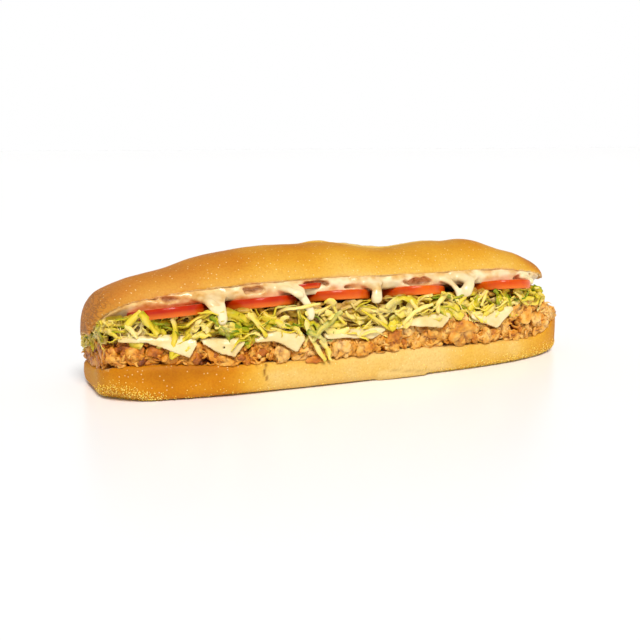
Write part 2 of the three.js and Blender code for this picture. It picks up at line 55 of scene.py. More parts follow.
RIM_FRONT = [(-149, 16.3), (-141, 18.5), (-128, 19.8), (-117, 20), (-104, 19.4), (-82, 17), (-70, 16.9),
             (-44, 16.3), (-22, 15.6), (2, 16.7), (17, 17), (40, 16.2), (70, 15.4), (100, 14.2),
             (117, 14), (125, 15.7), (131, 18.6), (137, 21.5), (145, 23), (151, 23.5)]
RIM_BACK = [(-152, 12), (-100, 14), (0, 16), (100, 17), (152, 19)]
LIP = [(-151, 30.5), (-147, 38.5), (-142, 44.7), (-132, 50), (-117, 53.3), (-104, 55.4), (-76, 57.8),
       (-40, 59), (-8, 59), (20, 58), (80, 57.6), (101, 56), (120, 53), (134, 49), (141, 45)]
HINGE = [(-152, 29), (-146, 25), (-135, 17), (-118, 14), (108, 14), (124, 18), (134, 29), (141, 39)]
CROWN = [(-151, 23), (-147, 25.5), (-140, 26.3), (-128, 28), (-110, 28.7), (-85, 34), (-50, 37.1),
         (-25, 36.6), (-8, 36), (10, 32.3), (24, 31), (50, 34), (66, 34), (84, 35.8), (104, 29.8),
         (120, 28), (132, 21), (141, 7)]


# ---------------------------------------------------------------- lines and noise
def curve(points):
    """A smooth curve through (x, value) pairs, level beyond its ends."""
    xs, values = np.array(points, float).T
    slopes = np.zeros(len(xs))
    slopes[1:-1] = (values[2:] - values[:-2]) / (xs[2:] - xs[:-2])

    def at(x):
        x = np.clip(x, xs[0], xs[-1])
        i = np.clip(np.searchsorted(xs, x, side="right") - 1, 0, len(xs) - 2)
        step = xs[i + 1] - xs[i]
        t = (x - xs[i]) / step
        ease = t * t * (3 - 2 * t)
        bend = slopes[i] * t * (1 - t) ** 2 - slopes[i + 1] * t * t * (1 - t)
        return values[i] + (values[i + 1] - values[i]) * ease + step * bend

    return at


def smoothstep(low, high, value):
    t = np.clip((value - low) / (high - low), 0, 1)
    return t * t * (3 - 2 * t)


def between(low, start, end, high, value):
    """1 from start to end, which falls away smoothly to 0 at low and at high."""
    return smoothstep(low, start, value) * (1 - smoothstep(end, high, value))


def mix(a, b, share):
    return a + (b - a) * share


def xyz(x, y, z):
    """Points from their coordinates, any of which may be one number."""
    return np.stack(np.broadcast_arrays(x, y, z), -1)


def unit(vectors, spare=0.0):
    """Vectors in rows at length 1: spare keeps one without length from dividing by 0."""
    return vectors / (np.linalg.norm(vectors, axis=1, keepdims=True) + spare)


def on_line(x):
    """Points along X, for noise that changes only along it."""
    return xyz(x, 0, 0)


def value_noise(points, scale, seed=0):
    """Smooth noise from -1 to 1 at points (n, 3), whose bumps are about scale millimetres wide."""
    p = np.asarray(points, float) / scale + seed * 17.31
    cell = np.floor(p).astype(np.int64)
    t = p - cell
    t = t * t * t * (t * (6 * t - 15) + 10)
    total = np.zeros(len(p))
    for corner in range(8):
        offset = np.array([corner & 1, corner >> 1 & 1, corner >> 2 & 1])
        c = cell + offset
        h = (c[:, 0] * 73856093) ^ (c[:, 1] * 19349663) ^ (c[:, 2] * 83492791) ^ (seed * 2654435761)
        h = (h ^ (h >> 13)) * 1274126177 & 0xFFFFFFFF
        value = ((h ^ (h >> 16)) & 0xFFFF) / 32767.5 - 1
        total += value * np.prod(np.where(offset, t, 1 - t), axis=1)
    return total


def rough_noise(points, scale, seed=0, octaves=3):
    """Noise with finer and weaker layers on top."""
    total = sum(value_noise(points, scale / 2**k, seed + k) / 2**k for k in range(octaves))
    return total / (2 - 2.0 ** (1 - octaves))


rim_front, rim_back = curve(RIM_FRONT), curve(RIM_BACK)
lip_height, hinge_height, crown_height = curve(LIP), curve(HINGE), curve(CROWN)


def fullness(x, length, power):
    """Share of the full width that the plan's superellipse has at x."""
    reach = np.where(x < 0, length[0], length[1])
    power = np.where(x < 0, power[0], power[1])
    return np.maximum(1 - np.abs(x / reach) ** power, 0) ** (1 / power)


def centre_y(x):
    return -BOW * (1 - np.minimum(np.abs(x / BOW_REACH), 1) ** 2)


def roll_fullness(x):
    return fullness(x, ROLL_LENGTH, ROLL_POWER)


def lid_fullness(x):
    return fullness(x, LID_LENGTH, LID_POWER)


def roll_front(x):
    return centre_y(x) - ROLL_HALF_WIDTH * roll_fullness(x)


def steady_front(x):
    """The roll's front, held level where it turns in at the ends."""
    return roll_front(np.clip(x, *FRONT_SPAN))


def inset_at(x, y):
    """Roughly how far inside the roll's front and ends a place lies."""
    return np.minimum(y - steady_front(x), np.minimum(x + ROLL_LENGTH[0], ROLL_LENGTH[1] - x))


def lid_front(x):
    return centre_y(x) - LID_REACH[0] * lid_fullness(x)


def lid_back(x):
    return centre_y(x) + LID_REACH[1] * lid_fullness(x)


def lower_cut(x, y):
    """Height of the lower half's cut face."""
    across = (y - roll_front(x)) / (2 * ROLL_HALF_WIDTH * roll_fullness(x) + 1e-6)
    across = np.clip(across, 0, 1)
    return mix(rim_front(x), rim_back(x), across) - 1.5 * np.sin(math.pi * across)


def upper_cut(x, y):
    """Height of the lid's cut face, which rises from the hinge to the lip."""
    near = np.clip(x, -147, 138)
    front, back = lid_front(near), lid_back(near) - HINGE_INSET
    return mix(hinge_height(x), lip_height(x), np.clip((back - y) / (back - front), 0, 1.25) ** OPEN_CURVE)


# ---------------------------------------------------------------- meshes
def add_attribute(piece, name, values):
    layer = piece.data.attributes.new(name, "FLOAT", "POINT")
    layer.data.foreach_set("value", np.asarray(values, np.float32))


def make_piece(name, points, faces, material, **attributes):
    """A mesh piece from points in millimetres, with each attribute's value at each point."""
    mesh = bpy.data.meshes.new(name)
    faces = faces.tolist() if isinstance(faces, np.ndarray) else faces
    mesh.from_pydata(((np.asarray(points) + ORIGIN) * 0.001).tolist(), [], faces)
    mesh.shade_smooth()
    mesh.materials.append(material)
    piece = bpy.data.objects.new(name, mesh)
    bpy.context.scene.collection.objects.link(piece)
    for key, values in attributes.items():
        add_attribute(piece, key, values)
    return piece


def points_of(piece):
    """A piece's points in millimetres."""
    flat = np.empty(len(piece.data.vertices) * 3)
    piece.data.vertices.foreach_get("co", flat)
    return flat.reshape(-1, 3) * 1000 - ORIGIN


def normals_of(piece):
    flat = np.empty(len(piece.data.vertices) * 3)
    piece.data.vertex_normals.foreach_get("vector", flat)
    return flat.reshape(-1, 3)


def set_points(piece, points):
    piece.data.vertices.foreach_set("co", ((points + ORIGIN) * 0.001).ravel())
    piece.data.update()


def remeshed(piece, voxel, factor, iterations):
    """The piece as one skin of voxels this many millimetres wide, smoothed."""
    remesh, smooth = piece.modifiers.new("remesh", "REMESH"), piece.modifiers.new("smooth", "SMOOTH")
    remesh.mode, remesh.voxel_size = "VOXEL", voxel / 1000
    smooth.factor, smooth.iterations = factor, iterations
    graph = bpy.context.evaluated_depsgraph_get()
    mesh = bpy.data.meshes.new_from_object(piece.evaluated_get(graph), depsgraph=graph)
    piece.modifiers.clear()
    old, piece.data = piece.data, mesh
    bpy.data.meshes.remove(old)
    piece.data.shade_smooth()
    return piece


def gathered(parts):
    """Several (points, triangles, attributes) meshes as one."""
    points, triangles, start = [], [], 0
    for part_points, part_triangles, _ in parts:
        points.append(part_points)
        triangles.append(np.asarray(part_triangles) + start)
        start += len(part_points)
    attributes = {key: np.concatenate([part[2][key] for part in parts]) for key in parts[0][2]}
    return np.concatenate(points), np.concatenate(triangles), attributes


def grid_triangles(columns, rows, wrap=False):
    """Triangles of a grid of (columns, rows) points, closed round its rows if wrap is set."""
    i, j = np.meshgrid(np.arange(columns - 1), np.arange(rows if wrap else rows - 1), indexing="ij")
    k = (j + 1) % rows
    a, b, c, d = i * rows + j, i * rows + k, (i + 1) * rows + k, (i + 1) * rows + j
    return np.concatenate([np.stack([a, b, c], -1).reshape(-1, 3), np.stack([a, c, d], -1).reshape(-1, 3)])


def tube(rings):
    """A closed surface through rings (n, m, 3) as triangles."""
    n, m = rings.shape[:2]
    points = np.concatenate([rings.reshape(-1, 3), [rings[0].mean(0)], [rings[-1].mean(0)]])
    j = np.arange(m)
    k = (j + 1) % m
    first = np.stack([np.full(m, n * m), k, j], 1)
    last = np.stack([np.full(m, n * m + 1), (n - 1) * m + j, (n - 1) * m + k], 1)
    return points, np.concatenate([grid_triangles(n, m, wrap=True), first, last])


def slab(lower, upper):
    """A closed plate between two grids (n, m, 3) of points."""
    n, m = lower.shape[:2]
    ids = np.arange(n * m).reshape(n, m)
    edge = np.concatenate([ids[:-1, 0], ids[-1, :-1], ids[:0:-1, -1], ids[0, :0:-1]])
    after = np.roll(edge, -1)
    above = n * m
    faces = grid_triangles(n, m)
    sides = np.concatenate([np.stack([edge, after, after + above], 1),
                            np.stack([edge, after + above, edge + above], 1)])
    points = np.concatenate([lower, upper]).reshape(-1, 3)
    return points, np.concatenate([faces, faces[:, ::-1] + above, sides[:, ::-1]])


# ---------------------------------------------------------------- materials
def new_material(name, **settings):
    """A material and its Principled shader, with the given inputs set."""
    material = bpy.data.materials.new(name)
    material.use_nodes = True
    shader = material.node_tree.nodes["Principled BSDF"]
    for key, value in settings.items():
        shader.inputs[key.replace("_", " ")].default_value = value
    return material, shader


def add_node(material, kind, inputs=(), **settings):
    """A node with its settings, and with values or links on its inputs."""
    node = material.node_tree.nodes.new(kind)
    for key, value in settings.items():
        setattr(node, key, value)
    for key, value in dict(inputs).items():
        if isinstance(value, bpy.types.NodeSocket):
            material.node_tree.links.new(value, node.inputs[key])
        else:
            node.inputs[key].default_value = value
    return node


def link(material, source, target):
    material.node_tree.links.new(source, target)


def srgb(code):
    """A linear colour from a hex code."""
    parts = [int(code[i:i + 2], 16) / 255 for i in (1, 3, 5)]
    return [*(p / 12.92 if p < 0.04045 else ((p + 0.055) / 1.055) ** 2.4 for p in parts), 1.0]


def ramp(material, value, stops):
    """A colour ramp through (position, hex) stops."""
    node = add_node(material, "ShaderNodeValToRGB", {"Fac": value})
    elements = node.color_ramp.elements
    while len(elements) < len(stops):
        elements.new(0.5)
    for element, (position, code) in zip(elements, stops):
        element.position = position
        element.color = srgb(code)
    return node.outputs["Color"]


def blended(material, factor, a, b, kind="MIX"):
    """Colours a and b mixed by factor."""
    inputs = {0: factor, 6: a, 7: b}
    return add_node(material, "ShaderNodeMix", inputs, data_type="RGBA", blend_type=kind).outputs[2]


def attribute(material, name):
    return add_node(material, "ShaderNodeAttribute", attribute_name=name).outputs["Fac"]


def maths(material, operation, *values):
    """The result of a math node on numbers or sockets."""
    return add_node(material, "ShaderNodeMath", dict(enumerate(values)), operation=operation).outputs[0]


def rescaled(material, value, low, high, start=0.0, end=1.0):
    """A value's way from low to high as one from start to end."""
    inputs = {0: value, 1: low, 2: high, 3: start, 4: end}
    return add_node(material, "ShaderNodeMapRange", inputs).outputs[0]


def mapped_noise(material, scale, detail=3.0, stretch=(1, 1, 1)):
    """Noise on the object's own coordinates: scale is in bumps per metre."""
    place = add_node(material, "ShaderNodeTexCoord").outputs["Object"]
    place = add_node(material, "ShaderNodeMapping", {"Vector": place, "Scale": stretch}).outputs["Vector"]
    inputs = {"Vector": place, "Scale": scale, "Detail": detail}
    return add_node(material, "ShaderNodeTexNoise", inputs).outputs["Fac"]


def finished(material, shader, colour, *layers):
    """The material with its colour, and with bumps from (height socket, depth in metres) layers."""
    link(material, colour, shader.inputs["Base Color"])
    normal = None
    for height, depth in layers:
        node = add_node(material, "ShaderNodeBump", {"Height": height, "Distance": depth, "Strength": 1.0})
        if normal:
            link(material, normal, node.inputs["Normal"])
        normal = node.outputs["Normal"]
    link(material, normal, shader.inputs["Normal"])
    return material


# ---------------------------------------------------------------- the roll
BREAD_VOXEL, RING_COUNT, END_GAP = 1.25, 150, 0.3  # END_GAP keeps the end rings from closing to a point
RIDGE_Y, RIDGE_SPAN = -5.0, (-34, -8, 62, 80)  # the scored ridge on top
SEAM_SPAN = (1, 5, 33, 37)  # along X, of the dough's seam at the foot of the front
FACET_POINT, FACET_NORMAL = np.array([-118.0, -46.0, 0.0]), np.array([-0.42, -0.40, -0.81])
CRACK = (-65.2, 8.0, 16.0)  # its place along X and its ends' heights


def spaced(count, low, high, front):
    """Places along X an equal way apart along the plan's outline."""
    x = np.linspace(low, high, 6000)
    way = np.concatenate([[0], np.cumsum(np.hypot(np.diff(x), np.diff(front(x))))])
    return np.interp(np.linspace(0, way[-1], count), way, x)


def lower_rings():
    x = spaced(RING_COUNT, END_GAP - ROLL_LENGTH[0], ROLL_LENGTH[1] - END_GAP, roll_front)
    half, middle = ROLL_HALF_WIDTH * roll_fullness(x), centre_y(x)
    lift = 6 * np.maximum(0.92 - roll_fullness(x), 0) ** 1.3
    front, back = rim_front(x), rim_back(x)
    profile = [
        (-0.80, lift), (-0.88, lift + 0.25), (-0.94, lift + 1.0), (-0.985, lift + 2.6),
        (-1.0, lift + 4.6), (-1.008, mix(lift, front, 0.5)), (-1.01, mix(lift, front, 0.65)),
        (-1.003, mix(lift, front, 0.85)), (-0.985, front - 1.2), (-0.965, front - 0.25), (-0.945, front),
    ]
    rings = [xyz(x, middle + share * half, z) for share, z in profile]
    for share in np.linspace(-0.92, 0.9, 22):
        y = middle + share * half
        rings.append(xyz(x, y, lower_cut(x, y)))
    for share, z in [(0.93, back), (0.97, back - 0.8), (1.0, back - 3), (1.01, mix(lift, back, 0.5)),
                     (1.0, lift + 4), (0.95, lift + 1.5), (0.88, lift + 0.3), (0.8, lift)]:
        rings.append(xyz(x, middle + share * half, z))
    rings += [xyz(x, middle + share * half, lift) for share in (0.4, 0.0, -0.4)]
    return np.stack(rings, 1)


def lid_rings():
    x = spaced(RING_COUNT, END_GAP - LID_LENGTH[0], LID_LENGTH[1] - END_GAP, lid_front)
    front, back = lid_front(x), lid_back(x)
    lip = xyz(x, front, lip_height(x))
    along = xyz(x, back, hinge_height(x) - 1.5) - lip
    normal = unit(xyz(0, -along[:, 2], along[:, 1]))
    height = crown_height(x) * lid_fullness(x) ** 0.55
    rings = []
    for turn in np.linspace(0, math.pi, 44):
        share = (1 - math.cos(turn)) / 2
        rings.append(lip + along * share + normal * (height * math.sin(turn) ** 0.85)[:, None])
    for share in np.linspace(0.02, 0.97, 24):
        y = mix(back - HINGE_INSET, front, share)
        z = mix(hinge_height(x), lip_height(x), share**OPEN_CURVE)
        rings.append(xyz(x, y, z))
    return np.stack(rings, 1)


def crumb_share(x, y, z, normals):
    """How far a place belongs to one of the two cut faces, whose crumb is bare."""
    lower = smoothstep(2.0, 1.0, np.abs(z - lower_cut(x, y))) * smoothstep(0.4, 0.8, normals[:, 2])
    lower *= smoothstep(2.2, 4.6, inset_at(x, y))
    upper = smoothstep(2.2, 1.2, np.abs(z - upper_cut(x, y))) * smoothstep(-0.15, -0.5, normals[:, 2])
    return np.maximum(lower, upper)


def scored_ridge(x, y, z, on_lid):
    """The low ridge where the dough was scored along the top, and its lift with the step behind it."""
    behind = y - RIDGE_Y - 1.5 * value_noise(on_line(x), 16, 6)
    present = on_lid * (z > 50) * between(*RIDGE_SPAN, x)
    present *= 0.4 + 0.6 * smoothstep(-0.5, 0.3, value_noise(on_line(x), 11, 8))
    ridge = np.exp(-(behind / 1.3) ** 2) * present
    height = 1.9 - 1.1 * smoothstep(22, 40, x)
    return ridge, height * ridge - 0.9 * present * between(0.5, 4, 6, 16, behind)


def crust_bake_and_shade(x, y, z, on_lid, ridge):
    """How dark the crust baked: pale where it stayed low and close, darker on the crown and the ends. The
    darker left end is partly browning and partly painted shade.
    """
    up = (z - lip_height(x)) / np.maximum(crown_height(x), 1)
    lid = 0.08 + 0.36 * smoothstep(-0.14, 0.4, up + 0.5 * smoothstep(-25, 25, y))
    # The lid's extra darkness towards its left end is partly browning and partly painted shade.
    lid += 0.2 * smoothstep(-10, -125, x) + 0.34 * smoothstep(98, 138, x) - 0.9 * ridge
    # The lower half's extra darkness towards its left end is partly browning and partly painted shade.
    side = 0.07 + 0.5 * smoothstep(-55, -92, x) - 0.1 * smoothstep(-118, -144, x)
    side += 0.1 * smoothstep(30, 75, x) + 0.42 * smoothstep(98, 148, x)
    side += 0.1 * smoothstep(9, 16, z) * smoothstep(0, -60, x) + 0.35 * smoothstep(10, 45, y)
    side += 0.06 * between(0, -30, -60, -95, x) - 0.08 * between(-10, 15, 45, 70, x)
    return np.where(on_lid, lid, side)


def make_roll(material):
    """The lower half and the lid, joined along the back."""
    points, triangles, _ = gathered([(*tube(rings), {}) for rings in (lower_rings(), lid_rings())])
    roll = remeshed(make_piece("bread", points, triangles, material), BREAD_VOXEL, 0.5, 4)
    points, normals = points_of(roll), normals_of(roll)
    x, y, z = points.T
    on_lid = z > np.minimum(lower_cut(x, y) + 1.0, upper_cut(x, y)) - 0.2
    crumb = crumb_share(x, y, z, normals)
    ridge, ridge_lift = scored_ridge(x, y, z, on_lid)
    swell = 0.5 * value_noise(points, 34, 1) + 0.25 * value_noise(points, 11, 2)
    grain = 0.08 * rough_noise(points, 3.2, 3)
    pores = 0.35 * crumb * rough_noise(points, 2.6, 4)
    lift = swell * (z > 2) * (1 - 0.7 * crumb) + grain + pores + ridge_lift
    points = points + normals * lift[:, None]
    # The end of the dough's seam, a thin flap near the foot of the front.
    flap_z = mix(5.6, 3.2, smoothstep(2, 38, x)) + 0.5 * value_noise(points, 7, 9)
    at_seam = (y < 0) * between(*SEAM_SPAN, x)
    seam = at_seam * smoothstep(-0.4, 0.4, flap_z - z)
    seam_shadow = at_seam * np.exp(-((z - flap_z - 0.5) / 0.5) ** 2)
    points = points + normals * (1.3 * seam)[:, None]
    # The left end was pressed against its neighbour while it baked: a flat facet at the bottom.
    over = (points - FACET_POINT) @ FACET_NORMAL
    facet = (over > -0.4) & (z < 25)
    points -= np.outer(np.where(facet, np.maximum(over, 0), 0), FACET_NORMAL)
    points[:, 2] = np.maximum(points[:, 2], 0)
    set_points(roll, points)

    bake_and_shade = crust_bake_and_shade(x, y, z, on_lid, ridge) + 0.07 * value_noise(points, 22, 5) - 0.2 * seam
    crack_x = CRACK[0] + 0.7 * np.sin(z * 0.9)
    crack = np.exp(-((x - crack_x) / 0.5) ** 2) * (z > CRACK[1]) * (z < CRACK[2]) * (y < 0) * ~on_lid
    # Darker marks: the crack's line, a painted shadow along the seam's flap and painted shade along the
    # facet's crease.
    dark = crack + 0.35 * seam_shadow + 0.5 * facet * smoothstep(0.5, -0.4, over)
    for name, values in (("bake_and_shade", bake_and_shade), ("crumb", crumb), ("dark", np.clip(dark, 0, 1)),
                         ("left", smoothstep(-20, -150, x) * on_lid),
                         ("wrinkled", smoothstep(-134, -147, x) * on_lid)):
        add_attribute(roll, name, values)
    return roll


def bread_material():
    material, shader = new_material(
        "baked_crust", Roughness=0.55, Subsurface_Weight=0.1, Subsurface_Radius=(0.004, 0.002, 0.001),
        Specular_IOR_Level=0.12)
    tone = maths(material, "MULTIPLY_ADD", mapped_noise(material, 45, 4), 0.4, -0.2)
    tone = maths(material, "ADD", tone, attribute(material, "bake_and_shade"))
    crust = ramp(material, tone, [
        (0.0, "#DEBC70"), (0.16, "#DAAC48"), (0.38, "#D49A28"), (0.6, "#C27A08"), (0.85, "#9C5804"),
    ])
    # The lid's left end turns a darker rosy brown: partly its own colour, partly painted shade.
    rosy = blended(material, 0.5, crust, srgb("#C07E40"))
    crust = blended(material, attribute(material, "left"), crust, rosy)
    # Fine wrinkles at the lid's left end: bumped in, with painted shade darkening their creases.
    creases = mapped_noise(material, 260, 3, (0.6, 0.6, 1.5))
    creases = ramp(material, creases, [(0.44, "#000000"), (0.5, "#FFFFFF"), (0.56, "#000000")])
    creases = maths(material, "MULTIPLY", creases, attribute(material, "wrinkled"))
    crust = blended(material, creases, crust, srgb("#A86C30"))
    # A fine uneven browning.
    freckle = ramp(material, mapped_noise(material, 900, 3), [(0.3, "#D8A454"), (0.6, "#FFFFFF")])
    crust = blended(material, 0.28, crust, freckle, "MULTIPLY")
    # Pale flecks of flour and tiny blisters, in about half of the cells.
    place = add_node(material, "ShaderNodeTexCoord").outputs["Object"]
    cells = add_node(material, "ShaderNodeTexVoronoi", {"Vector": place, "Scale": 480.0})
    chosen = add_node(material, "ShaderNodeSeparateColor", {"Color": cells.outputs["Color"]}).outputs[0]
    fleck = rescaled(material, cells.outputs["Distance"], 0.08, 0.22, 1.0, 0.0)
    fleck = maths(material, "MULTIPLY", fleck, maths(material, "GREATER_THAN", chosen, 0.48))
    fleck = maths(material, "MULTIPLY", fleck, 0.6)
    crust = blended(material, fleck, crust, srgb("#F4DC9C"))
    # The dark marks: the crack, the seam's painted shadow and the painted shade along the facet's crease.
    crust = blended(material, attribute(material, "dark"), crust, srgb("#7A4A12"))
    crumb = ramp(material, mapped_noise(material, 300, 3), [(0.3, "#CC9450"), (0.6, "#EACB8C")])
    colour = blended(material, attribute(material, "crumb"), crust, crumb)
    return finished(material, shader, colour, (mapped_noise(material, 420, 5), 0.00018),
                    (fleck, 0.0001), (creases, -0.0004))


roll = make_roll(bread_material())
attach(roll, "root")
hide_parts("roll")


CORNMEAL_GRAINS, CORNMEAL_SEED = 6600, 77


def make_cornmeal(bread, material):
    """Grains of cornmeal stuck to the roll's foot, thickest at the left facet and to the right."""
    draw = np.random.default_rng(CORNMEAL_SEED)
    points, normals = points_of(bread), normals_of(bread)
    x, _, z = points.T
    off_facet = (points - FACET_POINT) @ FACET_NORMAL
    near_facet = np.exp(-(off_facet / 1.0) ** 2) * (x < -100) * 0.5
    near_facet += np.exp(-((off_facet + 2.0) / 1.5) ** 2) * (x < -114) * 2.6
    reach = mix(3.0, 9.5, smoothstep(20, 110, x))
    foot = smoothstep(1.0, 0.25, z / reach) * (z > 0.3)
    foot = foot * (smoothstep(15, 75, x) + 0.25 * smoothstep(-60, -110, x))
    weight = (near_facet + foot * 1.9 + 0.06 * (z < 8)) * (z < 22) * (z > 0.2)
    chosen = draw.choice(len(points), CORNMEAL_GRAINS, p=weight / weight.sum())
    grain, triangles = ball(1)
    grains = []
    for i in chosen:
        place = points[i] + draw.uniform(-0.6, 0.6, 3) * (1 - np.abs(normals[i])) + normals[i] * 0.1
        size = draw.uniform(0.18, 0.44) * np.array([1, draw.uniform(0.7, 1), draw.uniform(0.6, 0.9)])
        corners = (grain * size) @ turned(draw).T + place
        corners[:, 2] = np.maximum(corners[:, 2], 0.02)
        grains.append((corners, triangles, dict(tone=np.full(len(grain), draw.random()))))
    points, triangles, attributes = gathered(grains)
    return make_piece("cornmeal", points, triangles, material, **attributes)


def cornmeal_material():
    material, shader = new_material("cornmeal", Roughness=0.6)
    tone = maths(material, "MULTIPLY_ADD", mapped_noise(material, 900, 2), 0.4, attribute(material, "tone"))
    colour = ramp(material, tone, [(0.15, "#C48810"), (0.6, "#E8BC24"), (1.1, "#F6DC70")])
    return finished(material, shader, colour, (mapped_noise(material, 2500, 2), 0.0001))


# ---------------------------------------------------------------- the filling's surfaces
CHICKEN_TOP = [(-152, 32), (-120, 32.5), (-100, 30), (-72, 29), (-58, 31.5), (-38, 28), (-10, 28.5),
               (20, 31), (52, 34), (68, 31), (95, 33), (110, 37), (126, 34), (140, 29), (152, 27)]
TOMATO_FRONT, TOMATO_TILT = -46.5, math.radians(12)
LETTUCE_FRONT_TOP = 46.0
TOMATO_TOP = 52.3  # at the front
FILLING_BACK = 25.0

chicken_front_top = curve(CHICKEN_TOP)


def chicken_top(x, y):
    """Height of the chicken's top, which tapers to the hinge with the space between the cut faces."""
    front = roll_front(np.clip(x, -142, 142)) + 4
    floor = lower_cut(x, front)
    share = (chicken_front_top(x) - floor) / (upper_cut(x, front) - floor)
    return mix(lower_cut(x, y), upper_cut(x, y), np.clip(share, 0, 0.8))


def lettuce_floor(x, y):
    return chicken_top(x, y) + 2.5


def lettuce_top(x, y):
    """Underside of the tomatoes: a slope that rises towards the front, below the lid's cut face."""
    slope = LETTUCE_FRONT_TOP - math.tan(TOMATO_TILT) * (y - TOMATO_FRONT)
    return np.minimum(slope, upper_cut(x, y) - 0.8)


def outline_places(count, inset, low=0.0, high=1.0):
    """Points (count, 2) at equal steps along the roll's outline, this far inside it, and the outward
    directions there. The way runs from the back of the left end, past the front, to the right end."""
    turn = np.linspace(0.84, 2.16, 3001) * math.pi
    cos, sin = np.cos(turn), np.sin(turn)
    power, length = np.where(cos < 0, *ROLL_POWER), np.where(cos < 0, *ROLL_LENGTH) - inset
    x = length * np.sign(cos) * np.abs(cos) ** (2 / power)
    y = centre_y(x) + (ROLL_HALF_WIDTH - inset) * np.sign(sin) * np.abs(sin) ** (2 / power)
    way = np.concatenate([[0], np.cumsum(np.hypot(np.diff(x), np.diff(y)))])
    wanted = way[-1] * mix(low, high, (np.arange(count) + 0.5) / count)
    x_at, y_at, out_x, out_y = (
        np.interp(wanted, way, values) for values in (x, y, np.gradient(y, way), -np.gradient(x, way)))
    return np.stack([x_at, y_at], 1), unit(np.stack([out_x, out_y], 1))


def round_outline(count, inset):
    """Numbers, places and outward directions along the roll's outline."""
    return list(zip(range(count), *outline_places(count, inset)))


def filling_grid(low, high, columns, rows, inset, scale, seed):
    """A layer's plan as a grid: X, Y from the front to the back, and noise over it."""
    x, share = np.meshgrid(np.linspace(low, high, columns), np.linspace(0, 1, rows), indexing="ij")
    y = mix(roll_front(np.clip(x, -140, 142)) + inset, np.full_like(x, FILLING_BACK), share)
    rough = rough_noise(xyz(x, y, 0).reshape(-1, 3), scale, seed)
    return x, y, rough.reshape(x.shape)


def level_slab(x, y, low, high):
    """A closed plate between two heights over a grid."""
    return slab(xyz(x, y, low), xyz(x, y, high))


# ---------------------------------------------------------------- building blocks of the filling
# Where pieces begin to be drawn back at each end along X, and how much further they can reach.
LEFT_LIMIT, RIGHT_LIMIT = (143.5, 5.0), (144.0, 7.5)


def softly_limited(values, start, reach):
    """Values that pass start flatten out towards start + reach."""
    over = (values - start) / reach
    return np.where(over > 0, start + reach * (1 - np.exp(-np.maximum(over, 0))), values)


def held_in(points, out=2.4):
    """Points drawn softly back inside the roll's ends and, but for out millimetres, its front."""
    x = softly_limited(points[:, 0], *RIGHT_LIMIT)
    x = -softly_limited(-x, *LEFT_LIMIT)
    y = -softly_limited(-points[:, 1], -steady_front(x) - 3.0, 3.0 + out)
    return xyz(x, y, points[:, 2])


def ball(level):
    """A unit icosphere's points and triangles."""
    mesh = bmesh.new()
    bmesh.ops.create_icosphere(mesh, subdivisions=level, radius=1.0)
    points = np.array([v.co[:] for v in mesh.verts])
    triangles = np.array([[v.index for v in f.verts] for f in mesh.faces])
    mesh.free()
    return points, triangles


def turned(draw, lean=math.pi):
    """A random rotation matrix, that tips away from upright by lean at most."""
    spin, tip, way = draw.uniform(0, 2 * math.pi), draw.uniform(-lean, lean), draw.uniform(0, 2 * math.pi)
    turns = [Euler(angles).to_matrix() for angles in ((0, 0, spin), (tip, 0, 0), (0, 0, way))]
    return np.array(turns[0] @ turns[1] @ turns[2])


BALL, SMALL_BALL = ball(4), ball(3)


def crumpled(directions, seed, bulge=0.3, crease=0.34, nubby=0.3):
    """Radii of a crumpled lump along unit directions, and how far into a crease each lies, which sets the
    painted shade there.
    """
    folds = np.minimum(np.abs(value_noise(directions, 0.6, seed)) * 2.0, 1)
    nubs = np.minimum(np.abs(value_noise(directions, 0.34, seed + 7)) * 2.0, 1)
    radius = 1 + bulge * value_noise(directions, 1.1, seed + 3) + crease * (folds - 0.5)
    radius += nubby * (nubs - 0.5) + 0.07 * value_noise(directions, 0.17, seed + 9)
    # Painted shade, darkest at the bottom of the folds and between the nubs.
    depth = np.clip(1 - 2.4 * folds, 0, 1) * 0.6 + np.clip(1 - 2.6 * nubs, 0, 1) * 0.5
    return radius, depth


def lump(draw, size, seed, stretch=None, level=BALL):
    """A chopped piece: a crumpled lump."""
    points, triangles = level
    radius, depth = crumpled(points, seed, nubby=draw.uniform(0.0, 0.24))
    if stretch is None:
        stretch = np.array([draw.uniform(0.9, 1.45), draw.uniform(0.7, 1.1), draw.uniform(0.55, 0.9)])
    return points * radius[:, None] * stretch * size, triangles, depth


def flap(length, width, thickness, curl, seed):
    """A thin curled slice: a flat lump with a wavy edge, bent round its width by curl radians."""
    points, triangles = BALL
    flat = points * [1, 1, 0]
    edge = 1 + 0.22 * value_noise(flat, 0.5, seed) + 0.1 * value_noise(flat, 0.22, seed)
    x, y = points[:, 0] * edge * length / 2, points[:, 1] * edge * width / 2
    z = np.sign(points[:, 2]) * np.abs(points[:, 2]) ** 0.7 * thickness / 2
    place = xyz(x, y, 0)
    z = z + 0.16 * width * value_noise(place, 0.45 * length, seed + 2)
    z = z + 0.35 * thickness * value_noise(place, 0.18 * length, seed + 5)
    bend = length / max(curl, 0.2)
    angle = x / bend * (1 + 0.25 * np.sin(seed) * x / length)
    bent = xyz((bend + z) * np.sin(angle), y, (bend + z) * np.cos(angle) - bend)
    # Painted shade in the middle of the underside.
    depth = np.clip(0.75 - 1.1 * np.hypot(points[:, 0], points[:, 1]), 0, 1) * (points[:, 2] < 0)
    return bent, triangles, depth


